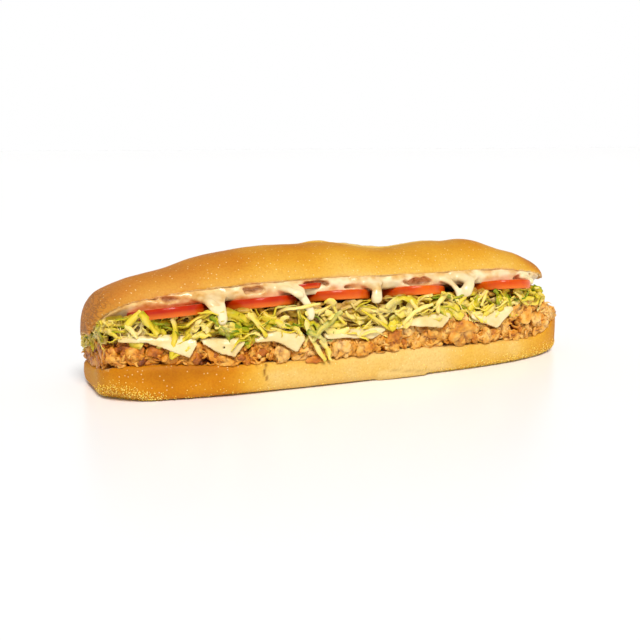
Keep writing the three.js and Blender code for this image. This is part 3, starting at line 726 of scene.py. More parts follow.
def shaving(draw, radius, angle, width, thickness, seed):
    """A thin shaving that curls round through an angle, with an uneven edge."""
    t = np.linspace(-0.5, 0.5, 16)
    turn = t * angle
    away = radius * (1 + draw.uniform(-0.5, 0.5) * t)
    skew = draw.uniform(-0.8, 0.8) * width * t
    line = xyz(away * np.sin(turn), skew, away * np.cos(turn) - radius)
    out = xyz(np.sin(turn), 0, np.cos(turn))
    uneven = value_noise(on_line(turn * radius), 2.4, seed)
    half = width / 2 * (0.4 + 0.6 * np.clip(1 - (2 * t) ** 4, 0, 1) ** 0.5) * (1 + 0.4 * uneven)
    shares = np.array([-1, -0.6, 0, 0.6, 1, 0.6, 0, -0.6])
    sides = np.array([0, 1, 1, 1, 0, -1, -1, -1])
    rings = line[:, None] + out[:, None] * (sides * thickness / 2)[None, :, None]
    rings[:, :, 1] += shares * half[:, None]
    points, triangles = tube(rings)
    for axis in (0, 2):
        points[:, axis] += 0.5 * value_noise(points, 2.2, seed + axis)
    # Painted shade on the inner side of the curl.
    depth = np.concatenate([np.tile(0.5 * (sides < 0) * (1 - shares**2), len(t)), [0, 0]])
    return points, triangles, depth


def along_path(points, count):
    """A smooth line through a few points, as count points."""
    points = np.asarray(points, float)
    t = np.concatenate([[0], np.cumsum(np.linalg.norm(np.diff(points, axis=0), axis=1))])
    fine = np.linspace(0, t[-1], count)
    return np.stack([curve(list(zip(t, points[:, k])))(fine) for k in range(3)], 1)


def rope(path, across, widths, depths, sides):
    """A strand along a path, with half a width along across and half a depth at each place."""
    out = np.cross(unit(np.gradient(path, axis=0)), across)
    turn = np.linspace(0, 2 * math.pi, sides, endpoint=False)
    rings = path[:, None] + across[:, None] * np.cos(turn)[None, :, None] * widths[:, None, None]
    return tube(rings + out[:, None] * np.sin(turn)[None, :, None] * depths[:, None, None])


RIBBON_SIDES = 6
LEAF_FACING = np.array([0.0, -0.94, 0.34])  # out of the front and a little up


def ribbon(path, widths, thickness, twist, cup=0.18):
    """A leaf's strip along a path: widths at each place, turned about its line by twist radians."""
    tangent = unit(np.gradient(path, axis=0), 1e-9)
    across = unit(np.cross(tangent, LEAF_FACING), 1e-9)
    out = np.cross(tangent, across)
    c, s = np.cos(twist)[:, None], np.sin(twist)[:, None]
    across, out = across * c + out * s, out * c - across * s
    shares = np.array([-1, 0, 1, 1, 0, -1])
    sides = np.array([1, 1, 1, -1, -1, -1]) * thickness / 2
    half = widths[:, None, None] / 2
    rings = path[:, None] + across[:, None] * shares[None, :, None] * half
    rings += out[:, None] * (sides[None, :, None] + cup * (shares**2)[None, :, None] * half)
    points, triangles = tube(rings)
    edge = np.concatenate([np.tile(np.abs(shares) > 0.9, len(path)), [False, False]])
    return points, triangles, edge.astype(float)


# ---------------------------------------------------------------- cheese lines
CHEESE_THICKNESS, CHEESE_FOLD, CHEESE_BACK, CHEESE_VOXEL = 1.8, 1.6, 0.0, 0.85
# Each slice's ends along X, the X of its hanging corner, and how far the corner hangs.
CHEESE_SLICES = [(-141, -101.5, -106, 9.5), (-99.5, -76, -82, 8.5), (-71, -42, -47, 8.5), (-31, 7.5, -2, 4),
                 (12, 50, 43.5, 8), (64, 97, 84, 8)]


def cheese_edge(x, low, high, corner, drop):
    """Where a slice folds over the chicken's front, its height there, and how far it hangs."""
    edge = steady_front(x) + 1.5
    rise = 1 - (corner - x) / min(corner - low, 24)
    hang = drop * np.clip(np.minimum(rise, (high - x) / (high - corner)), 0.12, 1)
    return edge, chicken_top(x, edge), hang


# ---------------------------------------------------------------- chicken
CHICKEN_CHUNKS, CHICKEN_BITS, CHICKEN_FLAPS, CHICKEN_CURLS, CHICKEN_STRANDS = 84, 110, 34, 240, 80
CHICKEN_ON_TOP, STRAND_SIDES, CHICKEN_SEED = 58, 6, 11
# Pieces that stand out: X, inset from the roll's front, Z, size and tone.
CHICKEN_LEADERS = [(-133, 3.0, 26.5, 5.0, 0.6), (-54, 3.0, 23, 7.0, 0.2), (11.5, 3.0, 24, 7.2, 0.62),
                   (38.5, 3.5, 24, 7.6, 0.36), (58.7, 2.5, 25, 8.4, 0.4), (-18, 4.0, 22, 6.5, 0.12),
                   (76, 3.5, 20, 6.0, 0.3), (-5, 2.5, 21, 6.4, 0.36)]
# Curled slices that stand out: X, inset, Z, length, width, curl and tone.
SLICE_LEADERS = [(109.5, 0.5, 28.5, 11, 13, 1.0, 0.3), (122, 3.0, 26.5, 13, 10, 1.4, 0.5),
                 (146.5, 5.0, 20.5, 12, 11, 1.2, 0.62), (-146, 6.0, 24, 14, 8, 2.2, 0.5),
                 (-77, 0.6, 20.2, 13, 4, 1.6, 0.4), (-35.4, -0.8, 16.4, 10, 4.5, 0.8, 0.8),
                 (65, 1.0, 30.0, 12, 7, 0.8, 0.9), (-122.7, 0.5, 27, 9, 6, 1.2, 0.74),
                 (-104, 0.5, 24, 10, 6, 1.6, 0.5), (-66.5, 0.5, 22.5, 8, 4, 1.4, 0.85)]


def right_drop(x):
    """How far the heap's loose top falls away at the right end."""
    return 4.5 * smoothstep(118, 141, x)


def chicken_place(point, share):
    """A place in the chicken's outer layer: share is its height between the bread and the top."""
    x, y = point
    return np.array([x, y, mix(lower_cut(x, y) + 1.5, chicken_top(x, y) - 1, share)])


def chicken_tone(x, draw):
    """Golden at the left, paler in the middle and at the right, with seared pieces between."""
    base = 0.5 - 0.26 * smoothstep(-85, -35, x) + 0.08 * smoothstep(20, 70, x)
    return base + draw.normal(0, 0.1) + (0.28 if draw.random() < 0.14 else 0)


def chicken_core():
    """The heap below the pieces, between the bread and the pieces' middles, coloured all through with painted
    shade.
    """
    x, y, rough = filling_grid(-141, 143, 150, 34, 5.0, 9, 31)
    floor = lower_cut(x, y)
    top = chicken_top(x, y) - 1.5 + 1.2 * rough - right_drop(x) - 2.5 * smoothstep(104, 116, x)
    points, triangles = level_slab(x, y, floor + 0.4, np.maximum(top, floor + 0.8))
    return points, triangles, dict(tone=np.full(len(points), 0.6), depth=np.ones(len(points)))


def below_cheese(points):
    """Pushes points under and behind the cheese slices that cover them."""
    x, y, z = points.T.copy()
    for low, high, corner, drop in CHEESE_SLICES:
        edge, top, hang = cheese_edge(x, low, high, corner, drop)
        inside = (x > low - 0.5) & (x < high + 0.5)
        behind = inside & (z > top - hang - 1.2) & (y < edge + 6)
        y = np.where(behind, np.maximum(y, edge + 0.4), y)
        z = np.where(inside & (y > edge - 0.2), np.minimum(z, chicken_top(x, y) + 0.1), z)
    return xyz(x, y, z)


def on_front(x, inset, z):
    """A place this far behind the roll's front."""
    return np.array([x, float(steady_front(x)) + inset, z])


def put(parts, shape, matrix, place, tone, overhang=0.4):
    """Adds a piece to the heap, held in between the bread, the cheese and the heap's top."""
    points, triangles, depth = shape
    points = held_in(points @ matrix.T + place)
    x, y, z = points.T
    z = np.maximum(z, lower_cut(x, y) - overhang * (y < roll_front(x) + 2))
    z = softly_limited(z, chicken_top(x, y) + 2.5 - right_drop(x), 3.0)
    points = below_cheese(xyz(x, y, z))
    high = smoothstep(0.2, 1.0, rough_noise(points, 4.5, 43)) * 0.22
    parts.append((points, triangles, dict(tone=tone + high, depth=depth)))


def chicken_strand(draw, number):
    """A thin pulled fibre, its turn and its place's share of the heap's height."""
    share = draw.uniform(0.0, 1.0)
    length, turn = draw.uniform(6, 17), turned(draw)
    s = np.linspace(-0.5, 0.5, 9)
    bend = draw.uniform(-0.9, 0.9)
    wave = 0.06 * length * np.sin(9 * s + number)
    path = xyz(s * length, bend * length * (s * s - 0.1), wave)
    radii = draw.uniform(0.5, 1.05) * (0.45 + 0.55 * np.sin(math.pi * (s + 0.5)) ** 0.6)
    across = unit(np.cross(unit(np.gradient(path, axis=0)), [0.13, -0.97, 0.2]), 1e-9)
    points, triangles = rope(path, across, radii, 0.7 * radii, STRAND_SIDES)
    return (points, triangles, np.zeros(len(points))), turn, share


def shaded(points, tone, depth):
    """The heap's tone with its drift along the roll, and its depth: painted shade in the creases, on the
    undersides and between the pieces further inside the heap, with stains at random.
    """
    x, y, z = points.T
    tone = tone + 0.07 * between(-8, 6, 40, 54, x) - 0.1 * smoothstep(104, 122, x)
    tone = tone + 0.05 * (1 - smoothstep(-98, -84, x))
    # Painted shade between the pieces, darker further behind the front and below the top, weaker at the right
    # end.
    gap_shade = 0.75 * smoothstep(3.0, 7.5, inset_at(x, y)) * (z < 34) * (1 - 0.55 * smoothstep(112, 126, x))
    stains = 0.2 * np.clip(rough_noise(points, 5, 41), 0, 1)
    return dict(tone=tone, depth=np.clip(depth + gap_shade + stains, 0, 1))


def make_chicken(material):
    draw = np.random.default_rng(CHICKEN_SEED)
    chunks, flaps = [chicken_core()], []
    for i, point, out in round_outline(CHICKEN_CHUNKS, 5.0):
        share = (0.12, 0.88, 0.5)[i % 3] + draw.uniform(-0.1, 0.1)
        place = chicken_place(point - out * draw.uniform(-1.5, 2.0), share)
        size = draw.uniform(3.9, 6.4) * (1.15 if point[0] > -20 else 1)
        put(chunks, lump(draw, size, i), turned(draw), place, chicken_tone(point[0], draw))
    for i, point, out in round_outline(CHICKEN_BITS, 3.2):
        place = chicken_place(point - out * draw.uniform(-1.5, 1.5), draw.uniform(0.0, 1.02))
        shape = lump(draw, draw.uniform(1.7, 3.4), i + 1200, level=SMALL_BALL)
        put(chunks, shape, turned(draw), place, chicken_tone(point[0], draw))
    curls = round_outline(CHICKEN_CURLS, 2.4)
    for chosen in draw.permutation(CHICKEN_CURLS):
        i, point, out = curls[chosen]
        place = chicken_place(point - out * draw.uniform(-1.0, 2.5), draw.uniform(-0.02, 1.02))
        shape = shaving(draw, draw.uniform(2.0, 4.8), draw.uniform(1.2, 3.9), draw.uniform(2.0, 5.0),
                        draw.uniform(0.6, 1.1), i + 1500)
        put(flaps, shape, turned(draw), place, chicken_tone(point[0], draw) + draw.uniform(-0.2, 0.1))
    for i, point, out in round_outline(CHICKEN_FLAPS, 3.0):
        share = (0.25, 0.7, 0.95, 0.05)[i % 4] + draw.uniform(-0.12, 0.12)
        place = chicken_place(point - out * draw.uniform(-1, 2), share)
        shape = flap(draw.uniform(9, 15), draw.uniform(6, 10), draw.uniform(1.6, 2.6),
                     draw.uniform(0.8, 2.4), i + 200)
        put(flaps, shape, turned(draw), place, chicken_tone(point[0], draw) + 0.05)
    # More pieces on top at the right end, where the lid is shorter than the filling.
    for i in range(CHICKEN_ON_TOP):
        x, y = draw.uniform(104, 142), draw.uniform(-34, 27)
        place = np.array([x, y, chicken_top(x, y) + draw.uniform(-4.5, -2.0) - right_drop(x)])
        if i % 2:
            parts, lighter = chunks, 0
            shape = lump(draw, draw.uniform(3.2, 4.8), i + 400, level=SMALL_BALL)
        else:
            parts, lighter = flaps, 0.05
            shape = flap(draw.uniform(10, 16), draw.uniform(7, 11), 1.8, draw.uniform(0.8, 2.2), i + 430)
        put(parts, shape, turned(draw), place, chicken_tone(x, draw) + lighter)
    for x, inset, z, size, tone in CHICKEN_LEADERS:
        shape = lump(draw, size, int(x) + 900, np.array([1.15, 0.75, 0.95]))
        put(chunks, shape, turned(draw, 0.5), on_front(x, inset, z), tone)
    for x, inset, z, length, width, curl, tone in SLICE_LEADERS:
        stand = np.array(Euler((1.25, draw.uniform(-0.3, 0.3), draw.uniform(-0.4, 0.4))).to_matrix())
        shape = flap(length, width, 2.2, curl, int(x) + 700)
        put(flaps, shape, stand, on_front(x, inset, z), tone, overhang=3.0)
    for i, point, _ in round_outline(CHICKEN_STRANDS, 1.8):
        shape, turn, share = chicken_strand(draw, i)
        put(flaps, shape, turn, chicken_place(point, share), chicken_tone(point[0], draw) + 0.1)
    pieces = []
    for name, parts in (("chicken_chunks", chunks), ("chicken_slices", flaps)):
        points, triangles, marks = gathered(parts)
        pieces.append(make_piece(name, points, triangles, material, **shaded(points, **marks)))
    return pieces


def chicken_material():
    material, shader = new_material(
        "griddled_chicken", Roughness=0.42, Subsurface_Weight=0.12,
        Subsurface_Radius=(0.003, 0.0012, 0.0006), Specular_IOR_Level=0.38)
    tone = maths(material, "MULTIPLY_ADD", mapped_noise(material, 190, 3), 1.3, attribute(material, "tone"))
    meat = ramp(material, maths(material, "SUBTRACT", tone, 0.72), [
        (0.0, "#F2C272"), (0.25, "#E8AA44"), (0.5, "#D88A1E"), (0.75, "#BA6608"), (1.0, "#763604"),
    ])
    # Painted shade: the meat is darkened towards this brown by the depth attribute.
    dark = blended(material, 1.0, meat, srgb("#804618"), "MULTIPLY")
    colour = blended(material, attribute(material, "depth"), meat, dark)
    return finished(material, shader, colour, (mapped_noise(material, 700, 4, (1, 1, 2.2)), 0.0006))


cornmeal = make_cornmeal(roll, cornmeal_material())
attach(cornmeal, "root")

meat = chicken_material()
for piece in make_chicken(meat):
    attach(piece, "root")
    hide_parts("chicken")


# ---------------------------------------------------------------- cheese
def make_cheese(number, low, high, corner, drop, material):
    """A slice that lies on the chicken, folds over its front and hangs there, softly melted."""
    u, v = np.meshgrid(np.linspace(0, 1, 46), np.linspace(0, 1, 60), indexing="ij")
    x = mix(low, high, u)
    edge, _, hang = cheese_edge(x, low, high, corner, drop)
    folded = 0.62
    on_top = v < folded
    down = np.clip((v - folded) / (1 - folded), 0, 1)
    y_flat = mix(np.full_like(x, CHEESE_BACK), edge, np.clip(v / folded, 0, 1))
    y = np.where(on_top, y_flat, edge - CHEESE_FOLD * np.minimum(down * 3, 1))
    flat = xyz(x, y_flat, 0).reshape(-1, 3)
    wave = value_noise(flat, 9, number + 50).reshape(x.shape)
    z = np.where(on_top, chicken_top(x, y_flat), chicken_top(x, edge)) + 0.6 + 0.7 * wave
    hang = hang * (1 + 0.14 * value_noise(flat, 9, number + 60).reshape(x.shape))
    z = z - (hang + 1) * down
    y = y - 0.9 * wave * down
    rounded = np.sqrt(np.clip(1 - (2 * u - 1) ** 20, 0, 1)) * np.sqrt(np.clip(1 - (2 * v - 1) ** 30, 0, 1))
    thick = CHEESE_THICKNESS * (0.35 + 0.65 * rounded)
    lower = xyz(x, y, z)
    upper = xyz(x, y - thick * down * 0.9, z + thick * (1 - down) + 0.1)
    points, triangles = slab(lower, upper)
    piece = make_piece(f"cheese_slice_{number}", points, triangles, material)
    return remeshed(piece, CHEESE_VOXEL, 0.6, 3)


def cheese_material():
    material, shader = new_material(
        "melted_cheese", Roughness=0.3, Subsurface_Weight=0.3, Subsurface_Radius=(0.005, 0.004, 0.002),
        Coat_Weight=0.15)
    colour = ramp(material, mapped_noise(material, 120, 3), [(0.3, "#DCC07C"), (0.65, "#E8D4A0")])
    return finished(material, shader, colour, (mapped_noise(material, 200, 3), 0.0006))


cheese = cheese_material()
for number, (low, high, corner, drop) in enumerate(CHEESE_SLICES, 1):
    piece = make_cheese(number, low, high, corner, drop, cheese)
    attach(piece, "root")
    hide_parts(f"cheese_{number}")


# ---------------------------------------------------------------- lettuce
LETTUCE_STRIPS, LEAFY_SHARE, LETTUCE_SEED = 600, 0.48, 23
LETTUCE_REACH, SHRED_SPAN = (148.0, 130.0), (-146, 122)
# Strips that stand out in front: (x, z) places along each, width, greenness from 0 to 1, twist.
LETTUCE_LEADERS = [
    ([(-136.4, 40), (-133.4, 44.5), (-129, 48.2)], 4.6, 0.25, 0.5),
    ([(-130, 48), (-126.6, 43), (-121.7, 36.4)], 5.4, 0.4, -0.7),
    ([(-137, 41.5), (-134, 38.3), (-131.5, 34.5)], 3.0, 0.05, 0.3),
    ([(-114.4, 44.5), (-112.7, 38.7), (-114.3, 29.4), (-115.3, 23.2)], 4.2, 0.34, 0.7),
    ([(-115.8, 23.4), (-110.4, 26.4), (-105.6, 28.6)], 2.6, 0.35, 0.5),
    ([(-75, 45), (-69.7, 38.9), (-64.7, 31.5)], 3.4, 0.15, 0.4),
    ([(-42.7, 39), (-39.2, 29.3), (-34.5, 21), (-30.5, 15.6)], 4.4, 0.06, 0.8),
    ([(-34, 27.5), (-29.4, 22), (-28, 15.2)], 3.4, 0.2, 0.7),
    ([(-26, 44.9), (-23, 39.7), (-19.3, 35)], 2.2, 0.3, 0.2),
    ([(-9.6, 42), (-0.2, 36.3), (9.4, 29.3)], 2.3, 0.35, 0.3),
    ([(6, 42), (11, 45.5), (18, 46.4), (26, 43.4)], 4.0, 0.4, 0.9),
    ([(36.4, 42.2), (24.7, 38.4), (17, 31.6)], 2.8, 0.02, 0.3),
    ([(-39, 27), (-33, 33.8), (-27, 37), (-21, 42)], 4.6, 0.66, 0.7),
    ([(-42, 33), (-36, 30), (-31, 26)], 4.0, 0.7, -0.5),
    ([(75, 46.6), (72.9, 42.6), (71, 38.2)], 2.2, 0.05, 0.2),
    ([(96.5, 44.5), (102.5, 40), (107.6, 35.6)], 3.0, 0.12, 0.3),
    ([(103, 39.4), (106.6, 40.4), (109.2, 43.6)], 1.4, 0.9, 0.3),
    ([(102.6, 38.4), (108.5, 39.2), (114, 38.2)], 3.6, 0.3, 0.9),
]


def strip(path, width, green, twist, draw):
    """One shred with its colour: a rib, a leaf or both, greener along its edges."""
    t = np.linspace(0, 1, len(path))
    seed = int(draw.integers(1, 9999))
    waves = value_noise(on_line(3 * t), 0.5, seed)
    widths = width * (0.55 + 0.45 * np.sin(math.pi * t) ** 0.5) * (1 + 0.3 * waves)
    turning = twist[0] + twist[1] * t + 0.5 * waves
    points, triangles, edge = ribbon(path, widths, draw.uniform(0.25, 0.45), turning, draw.uniform(-0.3, 0.4))
    ruffle = np.clip(width / 4.5, 0.5, 1.4)
    for axis, amount in ((0, 0.3), (1, 0.6), (2, 0.5)):
        points[:, axis] += amount * ruffle * value_noise(points, 3.2, seed + axis)
    along = np.concatenate([np.repeat(t, RIBBON_SIDES), [0, 1]])
    shade = green + 0.5 * draw.uniform(-1, 1) * (along - 0.5) + 0.3 * (edge - 0.4) * (0.3 + green)
    # Painted shade, darker the further a shred lies behind the front.
    painted_gap_shade = 0.85 * smoothstep(0.4, 5.0, inset_at(points[:, 0], points[:, 1]))
    return points, triangles, dict(green=np.clip(shade, 0, 1), painted_gap_shade=painted_gap_shade)


def lettuce_core():
    x, y, rough = filling_grid(5 - LETTUCE_REACH[0], LETTUCE_REACH[1] - 5, 130, 26, 7.0, 7, 61)
    floor = lettuce_floor(x, y)
    top = np.maximum(lettuce_top(x, y) - 1.5 + rough, floor + 0.3)
    points, triangles = level_slab(x, y, floor, top)
    # The core is coloured all through with the painted shade.
    return points, triangles, dict(green=np.full(len(points), 0.5), painted_gap_shade=np.ones(len(points)))


def shred_path(draw, place, out, hanging):
    """A bent line through the lettuce, and whether its shred is leafy."""
    x, y = place
    low, high = lettuce_floor(x, y), lettuce_top(x, y)
    z = draw.uniform(low - 4, low + 6) if hanging else mix(low, high, draw.uniform(-0.02, 1.0))
    outward = np.array([*out, 0.0])
    along = np.array([-out[1], out[0], 0]) * (1 if draw.random() < 0.5 else -1)
    pitch, yaw = draw.normal(0, 0.8 if hanging else 0.5), draw.normal(0, 0.1 if hanging else 0.3)
    heading = math.cos(pitch) * math.cos(yaw) * along + math.sin(yaw) * outward + [0, 0, math.sin(pitch)]
    heading /= np.linalg.norm(heading)
    side = np.cross(heading, outward)
    leafy = draw.random() < LEAFY_SHARE
    length = draw.uniform(8, 18) if hanging else draw.uniform(10, 22) if leafy else draw.uniform(12, 36)
    s = np.linspace(-0.5, 0.5, 12)
    bend, lean = draw.uniform(-1.0, 1.0), draw.uniform(-0.4, 0.4) * (not hanging)
    wave = draw.uniform(0, 0.07) * np.sin(s * draw.uniform(6, 16))
    path = np.array([x, y, z]) + length * (
        np.outer(s, heading) + np.outer(bend * (s * s - 0.08) + wave, side)
        + np.outer(lean * (s * s - 0.08), outward))
    # It stays inside the ends, just in front of the roll, and between the chicken and the tomatoes.
    path[:, 0] = np.clip(path[:, 0], *SHRED_SPAN)
    near = np.clip(path[:, 0], -146, 130)
    path[:, 1] = np.maximum(path[:, 1], roll_front(near) + draw.uniform(-2.7, 1.5))
    x, y = path[:, 0], path[:, 1]
    top = np.where(y > TOMATO_FRONT - 1.5, lettuce_top(x, y) + 0.5, LETTUCE_FRONT_TOP + 1.2)
    path[:, 2] = np.clip(path[:, 2], lettuce_floor(x, y) - (9 if hanging else 3.5), top)
    return path, leafy


def make_lettuce(material):
    draw = np.random.default_rng(LETTUCE_SEED)
    parts = [lettuce_core()]
    places, outs = outline_places(LETTUCE_STRIPS, 2.5, 0.0, 0.86)
    for number, i in enumerate(draw.permutation(LETTUCE_STRIPS)):
        hanging = number % 6 == 0
        inset = draw.uniform(-2.7, -1.6) if hanging else draw.uniform(-1.4, 7.0)
        place = places[i] - outs[i] * inset
        path, leafy = shred_path(draw, place, outs[i], hanging)
        kind = draw.random() + 0.25 * value_noise(on_line(place[:1]), 18, 62)[0]
        green = draw.uniform(*((0.0, 0.22) if kind < 0.52 else (0.2, 0.5) if kind < 0.84 else (0.45, 0.85)))
        width = draw.uniform(3.2, 6.6) if leafy else draw.uniform(1.4, 3.0)
        parts.append(strip(path, width, green, (draw.uniform(-1, 1), draw.uniform(-1.8, 1.8)), draw))
    for line, width, green, twist in LETTUCE_LEADERS:
        x, z = np.array(line).T
        y = steady_front(x) - 1.9 + 0.6 * np.sin(np.arange(len(x)))
        path = along_path(xyz(x, y, z), 15)
        parts.append(strip(path, 0.78 * width, green, (-twist / 2, twist), draw))
    points, triangles, marks = gathered(parts)
    # More dressing on the left, where the painted shade between the shreds is also lighter, and less on the
    # right.
    left = smoothstep(-80, -110, points[:, 0])
    marks["dressed"] = 0.6 + 0.25 * left - 0.38 * smoothstep(5, 40, points[:, 0])
    marks["painted_gap_shade"] = marks["painted_gap_shade"] * (1 - 0.3 * left)
    return make_piece("lettuce_shreds", points, triangles, material, **marks)


def lettuce_material():
    material, shader = new_material(
        "iceberg_lettuce", Roughness=0.36, Subsurface_Weight=0.6,
        Subsurface_Radius=(0.008, 0.009, 0.003), Specular_IOR_Level=0.2)
    tone = maths(material, "MULTIPLY_ADD", mapped_noise(material, 160, 2), 0.5, attribute(material, "green"))
    colour = ramp(material, maths(material, "SUBTRACT", tone, 0.25), [
        (0.0, "#F0D880"), (0.25, "#E4C840"), (0.5, "#C8B41E"), (0.75, "#949A10"), (1.0, "#5E7C08"),
    ])
    # Dressing that has run over the leaves.
    film = mapped_noise(material, 75, 3)
    film = rescaled(material, film, 0.5, 0.66, 0.0, attribute(material, "dressed"))
    colour = blended(material, film, colour, srgb("#EAD590"))
    # Painted shade between the shreds, in a warm brown.
    colour = blended(material, attribute(material, "painted_gap_shade"), colour, srgb("#A8701C"))
    return finished(material, shader, colour, (mapped_noise(material, 500, 3, (1, 1, 0.3)), 0.00035))


lettuce = make_lettuce(lettuce_material())
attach(lettuce, "root")
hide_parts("lettuce")


# ---------------------------------------------------------------- tomatoes
TOMATO_SHAPE = (12, 5.4, TOMATO_FRONT)  # tilt in degrees, thickness and front of the large slices
# Each slice: centre along X, radius, height of its front rim, roll about Y, and its shape.
TOMATO_SLICES = [
    (-111.5, 21.8, 48.2, -3, *TOMATO_SHAPE), (-60.5, 21.2, 49.8, -1, *TOMATO_SHAPE),
    (-36, 11, 55.7, 0, 15, 3, -40.5), (-14.8, 20.6, 50.4, 2.5, *TOMATO_SHAPE),
    (34.6, 20.8, 49.6, 2, *TOMATO_SHAPE), (95.8, 20.4, 49.4, 1, *TOMATO_SHAPE),
]
# Half of a slice's section from the middle to the rim: share of the radius and of half the thickness.
TOMATO_SECTION = [(0.02, 0.86), (0.3, 0.88), (0.6, 0.84), (0.85, 0.9), (0.93, 0.97), (0.965, 1.0),
                  (0.985, 0.93), (0.996, 0.75), (1.0, 0.4)]


def make_tomato(number, x, radius, rim, roll_angle, tilt, thickness, front, material):
    """A slice: two cut faces, a little hollow inside the skin, and a rounded rim."""
    section = [(r, -z) for r, z in TOMATO_SECTION] + TOMATO_SECTION[::-1]
    turn = np.linspace(0, 2 * math.pi, 120, endpoint=False)
    lobes = 1 + 0.012 * np.sin(3 * turn + number) + 0.008 * np.sin(5 * turn + 2 * number)
    rings = [xyz(radius * r * lobes * np.cos(turn), radius * r * lobes * np.sin(turn),
                       thickness / 2 * z + 0.25 * np.sin(2 * turn + number) * r) for r, z in section]
    points, triangles = tube(np.stack(rings))
    skin = np.concatenate([np.repeat([1.0 if r > 0.98 else 0.0 for r, _ in section], len(turn)), [0, 0]])
    low = np.concatenate([np.repeat([z for _, z in section], len(turn)), [-1, 1]])
    slope = math.radians(tilt)
    matrix = np.array(Euler((0, math.radians(roll_angle), 0)).to_matrix() @ Euler((-slope, 0, 0)).to_matrix())
    centre = [x, front + radius * math.cos(slope), rim - radius * math.sin(slope)]
    points = points @ matrix.T + centre
    ripe = 1 - smoothstep(-55, 20, points[:, 0])
    return make_piece(f"tomato_slice_{number}", points, triangles, material, skin=skin, low=low, ripe=ripe)


def tomato_material():
    material, shader = new_material(
        "tomato", Roughness=0.22, Subsurface_Weight=0.15, Subsurface_Radius=(0.004, 0.001, 0.0005),
        Specular_IOR_Level=0.25)
    noise = mapped_noise(material, 90, 2)
    orange = ramp(material, noise, [(0.35, "#C63A02"), (0.65, "#D65A08")])
    red = ramp(material, noise, [(0.35, "#A81A00"), (0.65, "#BC3002")])
    skin = blended(material, attribute(material, "ripe"), orange, red)
    low = rescaled(material, attribute(material, "low"), 0.2, -0.95)
    skin = blended(material, low, skin, srgb("#E0701C"))
    flesh = ramp(material, mapped_noise(material, 240, 3),
                 [(0.3, "#D8441E"), (0.5, "#E87040"), (0.7, "#F0A070")])
    colour = blended(material, attribute(material, "skin"), flesh, skin)
    return finished(material, shader, colour, (mapped_noise(material, 350, 3), 0.0002))


tomato = tomato_material()
for number, values in enumerate(TOMATO_SLICES, 1):
    piece = make_tomato(number, *values, tomato)
    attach(piece, "root")
    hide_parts(f"tomato_{number}")


# ---------------------------------------------------------------- sauce
SAUCE_THICKNESS, SAUCE_VOXEL, SAUCE_RIGHT = 4.4, 0.75, 130.0
# Where the sauce leaves the lid's crumb bare along its front: X, Z, half width and half height.
SAUCE_POCKETS = [(-113, 51.9, 6.2, 2.0), (-94, 51.6, 4.6, 1.0), (-67, 54.5, 5.6, 1.9),
                 (-46.5, 54.8, 6.5, 1.7), (-31, 56, 8.5, 1.5), (-12.2, 53.1, 3.6, 1.5),
                 (3.5, 54.3, 3.2, 1.1), (33.6, 53.2, 8, 2.6), (55.5, 49, 2.6, 3.0), (113, 50.9, 7.5, 2.2)]
POCKET_DEPTH = 4.5
# Drips that hang over the front: X of the root, X and Z of the tip, radius.
DRIPS = [(-95, -91, 44.5, 3.0), (-88, -87.5, 38.5, 2.8), (-50, -44, 50.5, 2.6),
         (-44, -38.5, 37.5, 2.5), (3, 1.5, 44.5, 3.4), (52, 56, 43.0, 2.0), (66, 61, 44, 4.0),
         (114, 113, 46.5, 2.4)]
DRIP_RINGS, DRIP_SIDES = 26, 16


def pocket_depth(x, z):
    """How far into a bare pocket a place on the sauce's front lies, from 0 to 1."""
    depth = np.zeros_like(x)
    place = xyz(x, z * 1.3, 0)
    ragged = 0.6 * value_noise(place, 3.4, 74) + 0.3 * value_noise(place, 1.6, 77)
    x, z = x + 2.6 * value_noise(place, 6, 75), z + 1.0 * value_noise(place, 5, 76)
    for middle, height, half, tall in SAUCE_POCKETS:
        off = ((x - middle) / half) ** 2 + ((z - height) / tall) ** 2 + ragged
        depth = np.maximum(depth, 1 - smoothstep(0.5, 1.3, off))
    return depth


def sauce_body():
    """The sauce between the lid and the tomatoes: columns along X, each a ring round its section."""
    xs = np.linspace(-147, SAUCE_RIGHT, 460)
    lip = lid_front(xs)
    ends = np.sqrt(np.clip(1 - np.abs((xs + 8) / 139.2) ** 14, 0, 1))
    sag = 1.6 * value_noise(on_line(xs), 13, 71) + 0.8 * value_noise(on_line(xs), 5, 72)
    top = upper_cut(xs, lip + 1.5) + 0.8
    bottom = TOMATO_TOP - math.tan(TOMATO_TILT) * (lip + 3 - TOMATO_FRONT) + 0.2 - 0.6 * sag
    bottom = mix(top - 1.5, np.minimum(bottom, top - 2), ends)
    rings = []
    # Down the front face, from inside the lid's cut to the bottom.
    for share in np.linspace(0, 1, 26):
        z = mix(top, bottom, share)
        bulge = 1.1 * math.sin(math.pi * min(share * 1.15, 1)) + 1.0 * share
        face = xyz(xs, z * 1.6, 0)
        wave = value_noise(face, 8, 73) + 0.5 * value_noise(face, 3.5, 79)
        y = lip + 1.6 - bulge * ends + 0.9 * wave + POCKET_DEPTH * pocket_depth(xs, z)
        rings.append(xyz(xs, y, z))
    # Back along its underside, and forward again inside the lid's cut.
    for inward, drop in ((4, 0.6), (12, 0.4), (24, 0.2), (32, 0.0)):
        y = np.minimum(lip + inward, 0)
        rings.append(xyz(xs, y, upper_cut(xs, y) - SAUCE_THICKNESS * (1 + drop) * ends))
    for inward in (32, 20, 10, 3):
        y = np.minimum(lip + inward, 0)
        rings.append(xyz(xs, y, upper_cut(xs, y) + 1.6))
    return tube(np.stack(rings, 1))


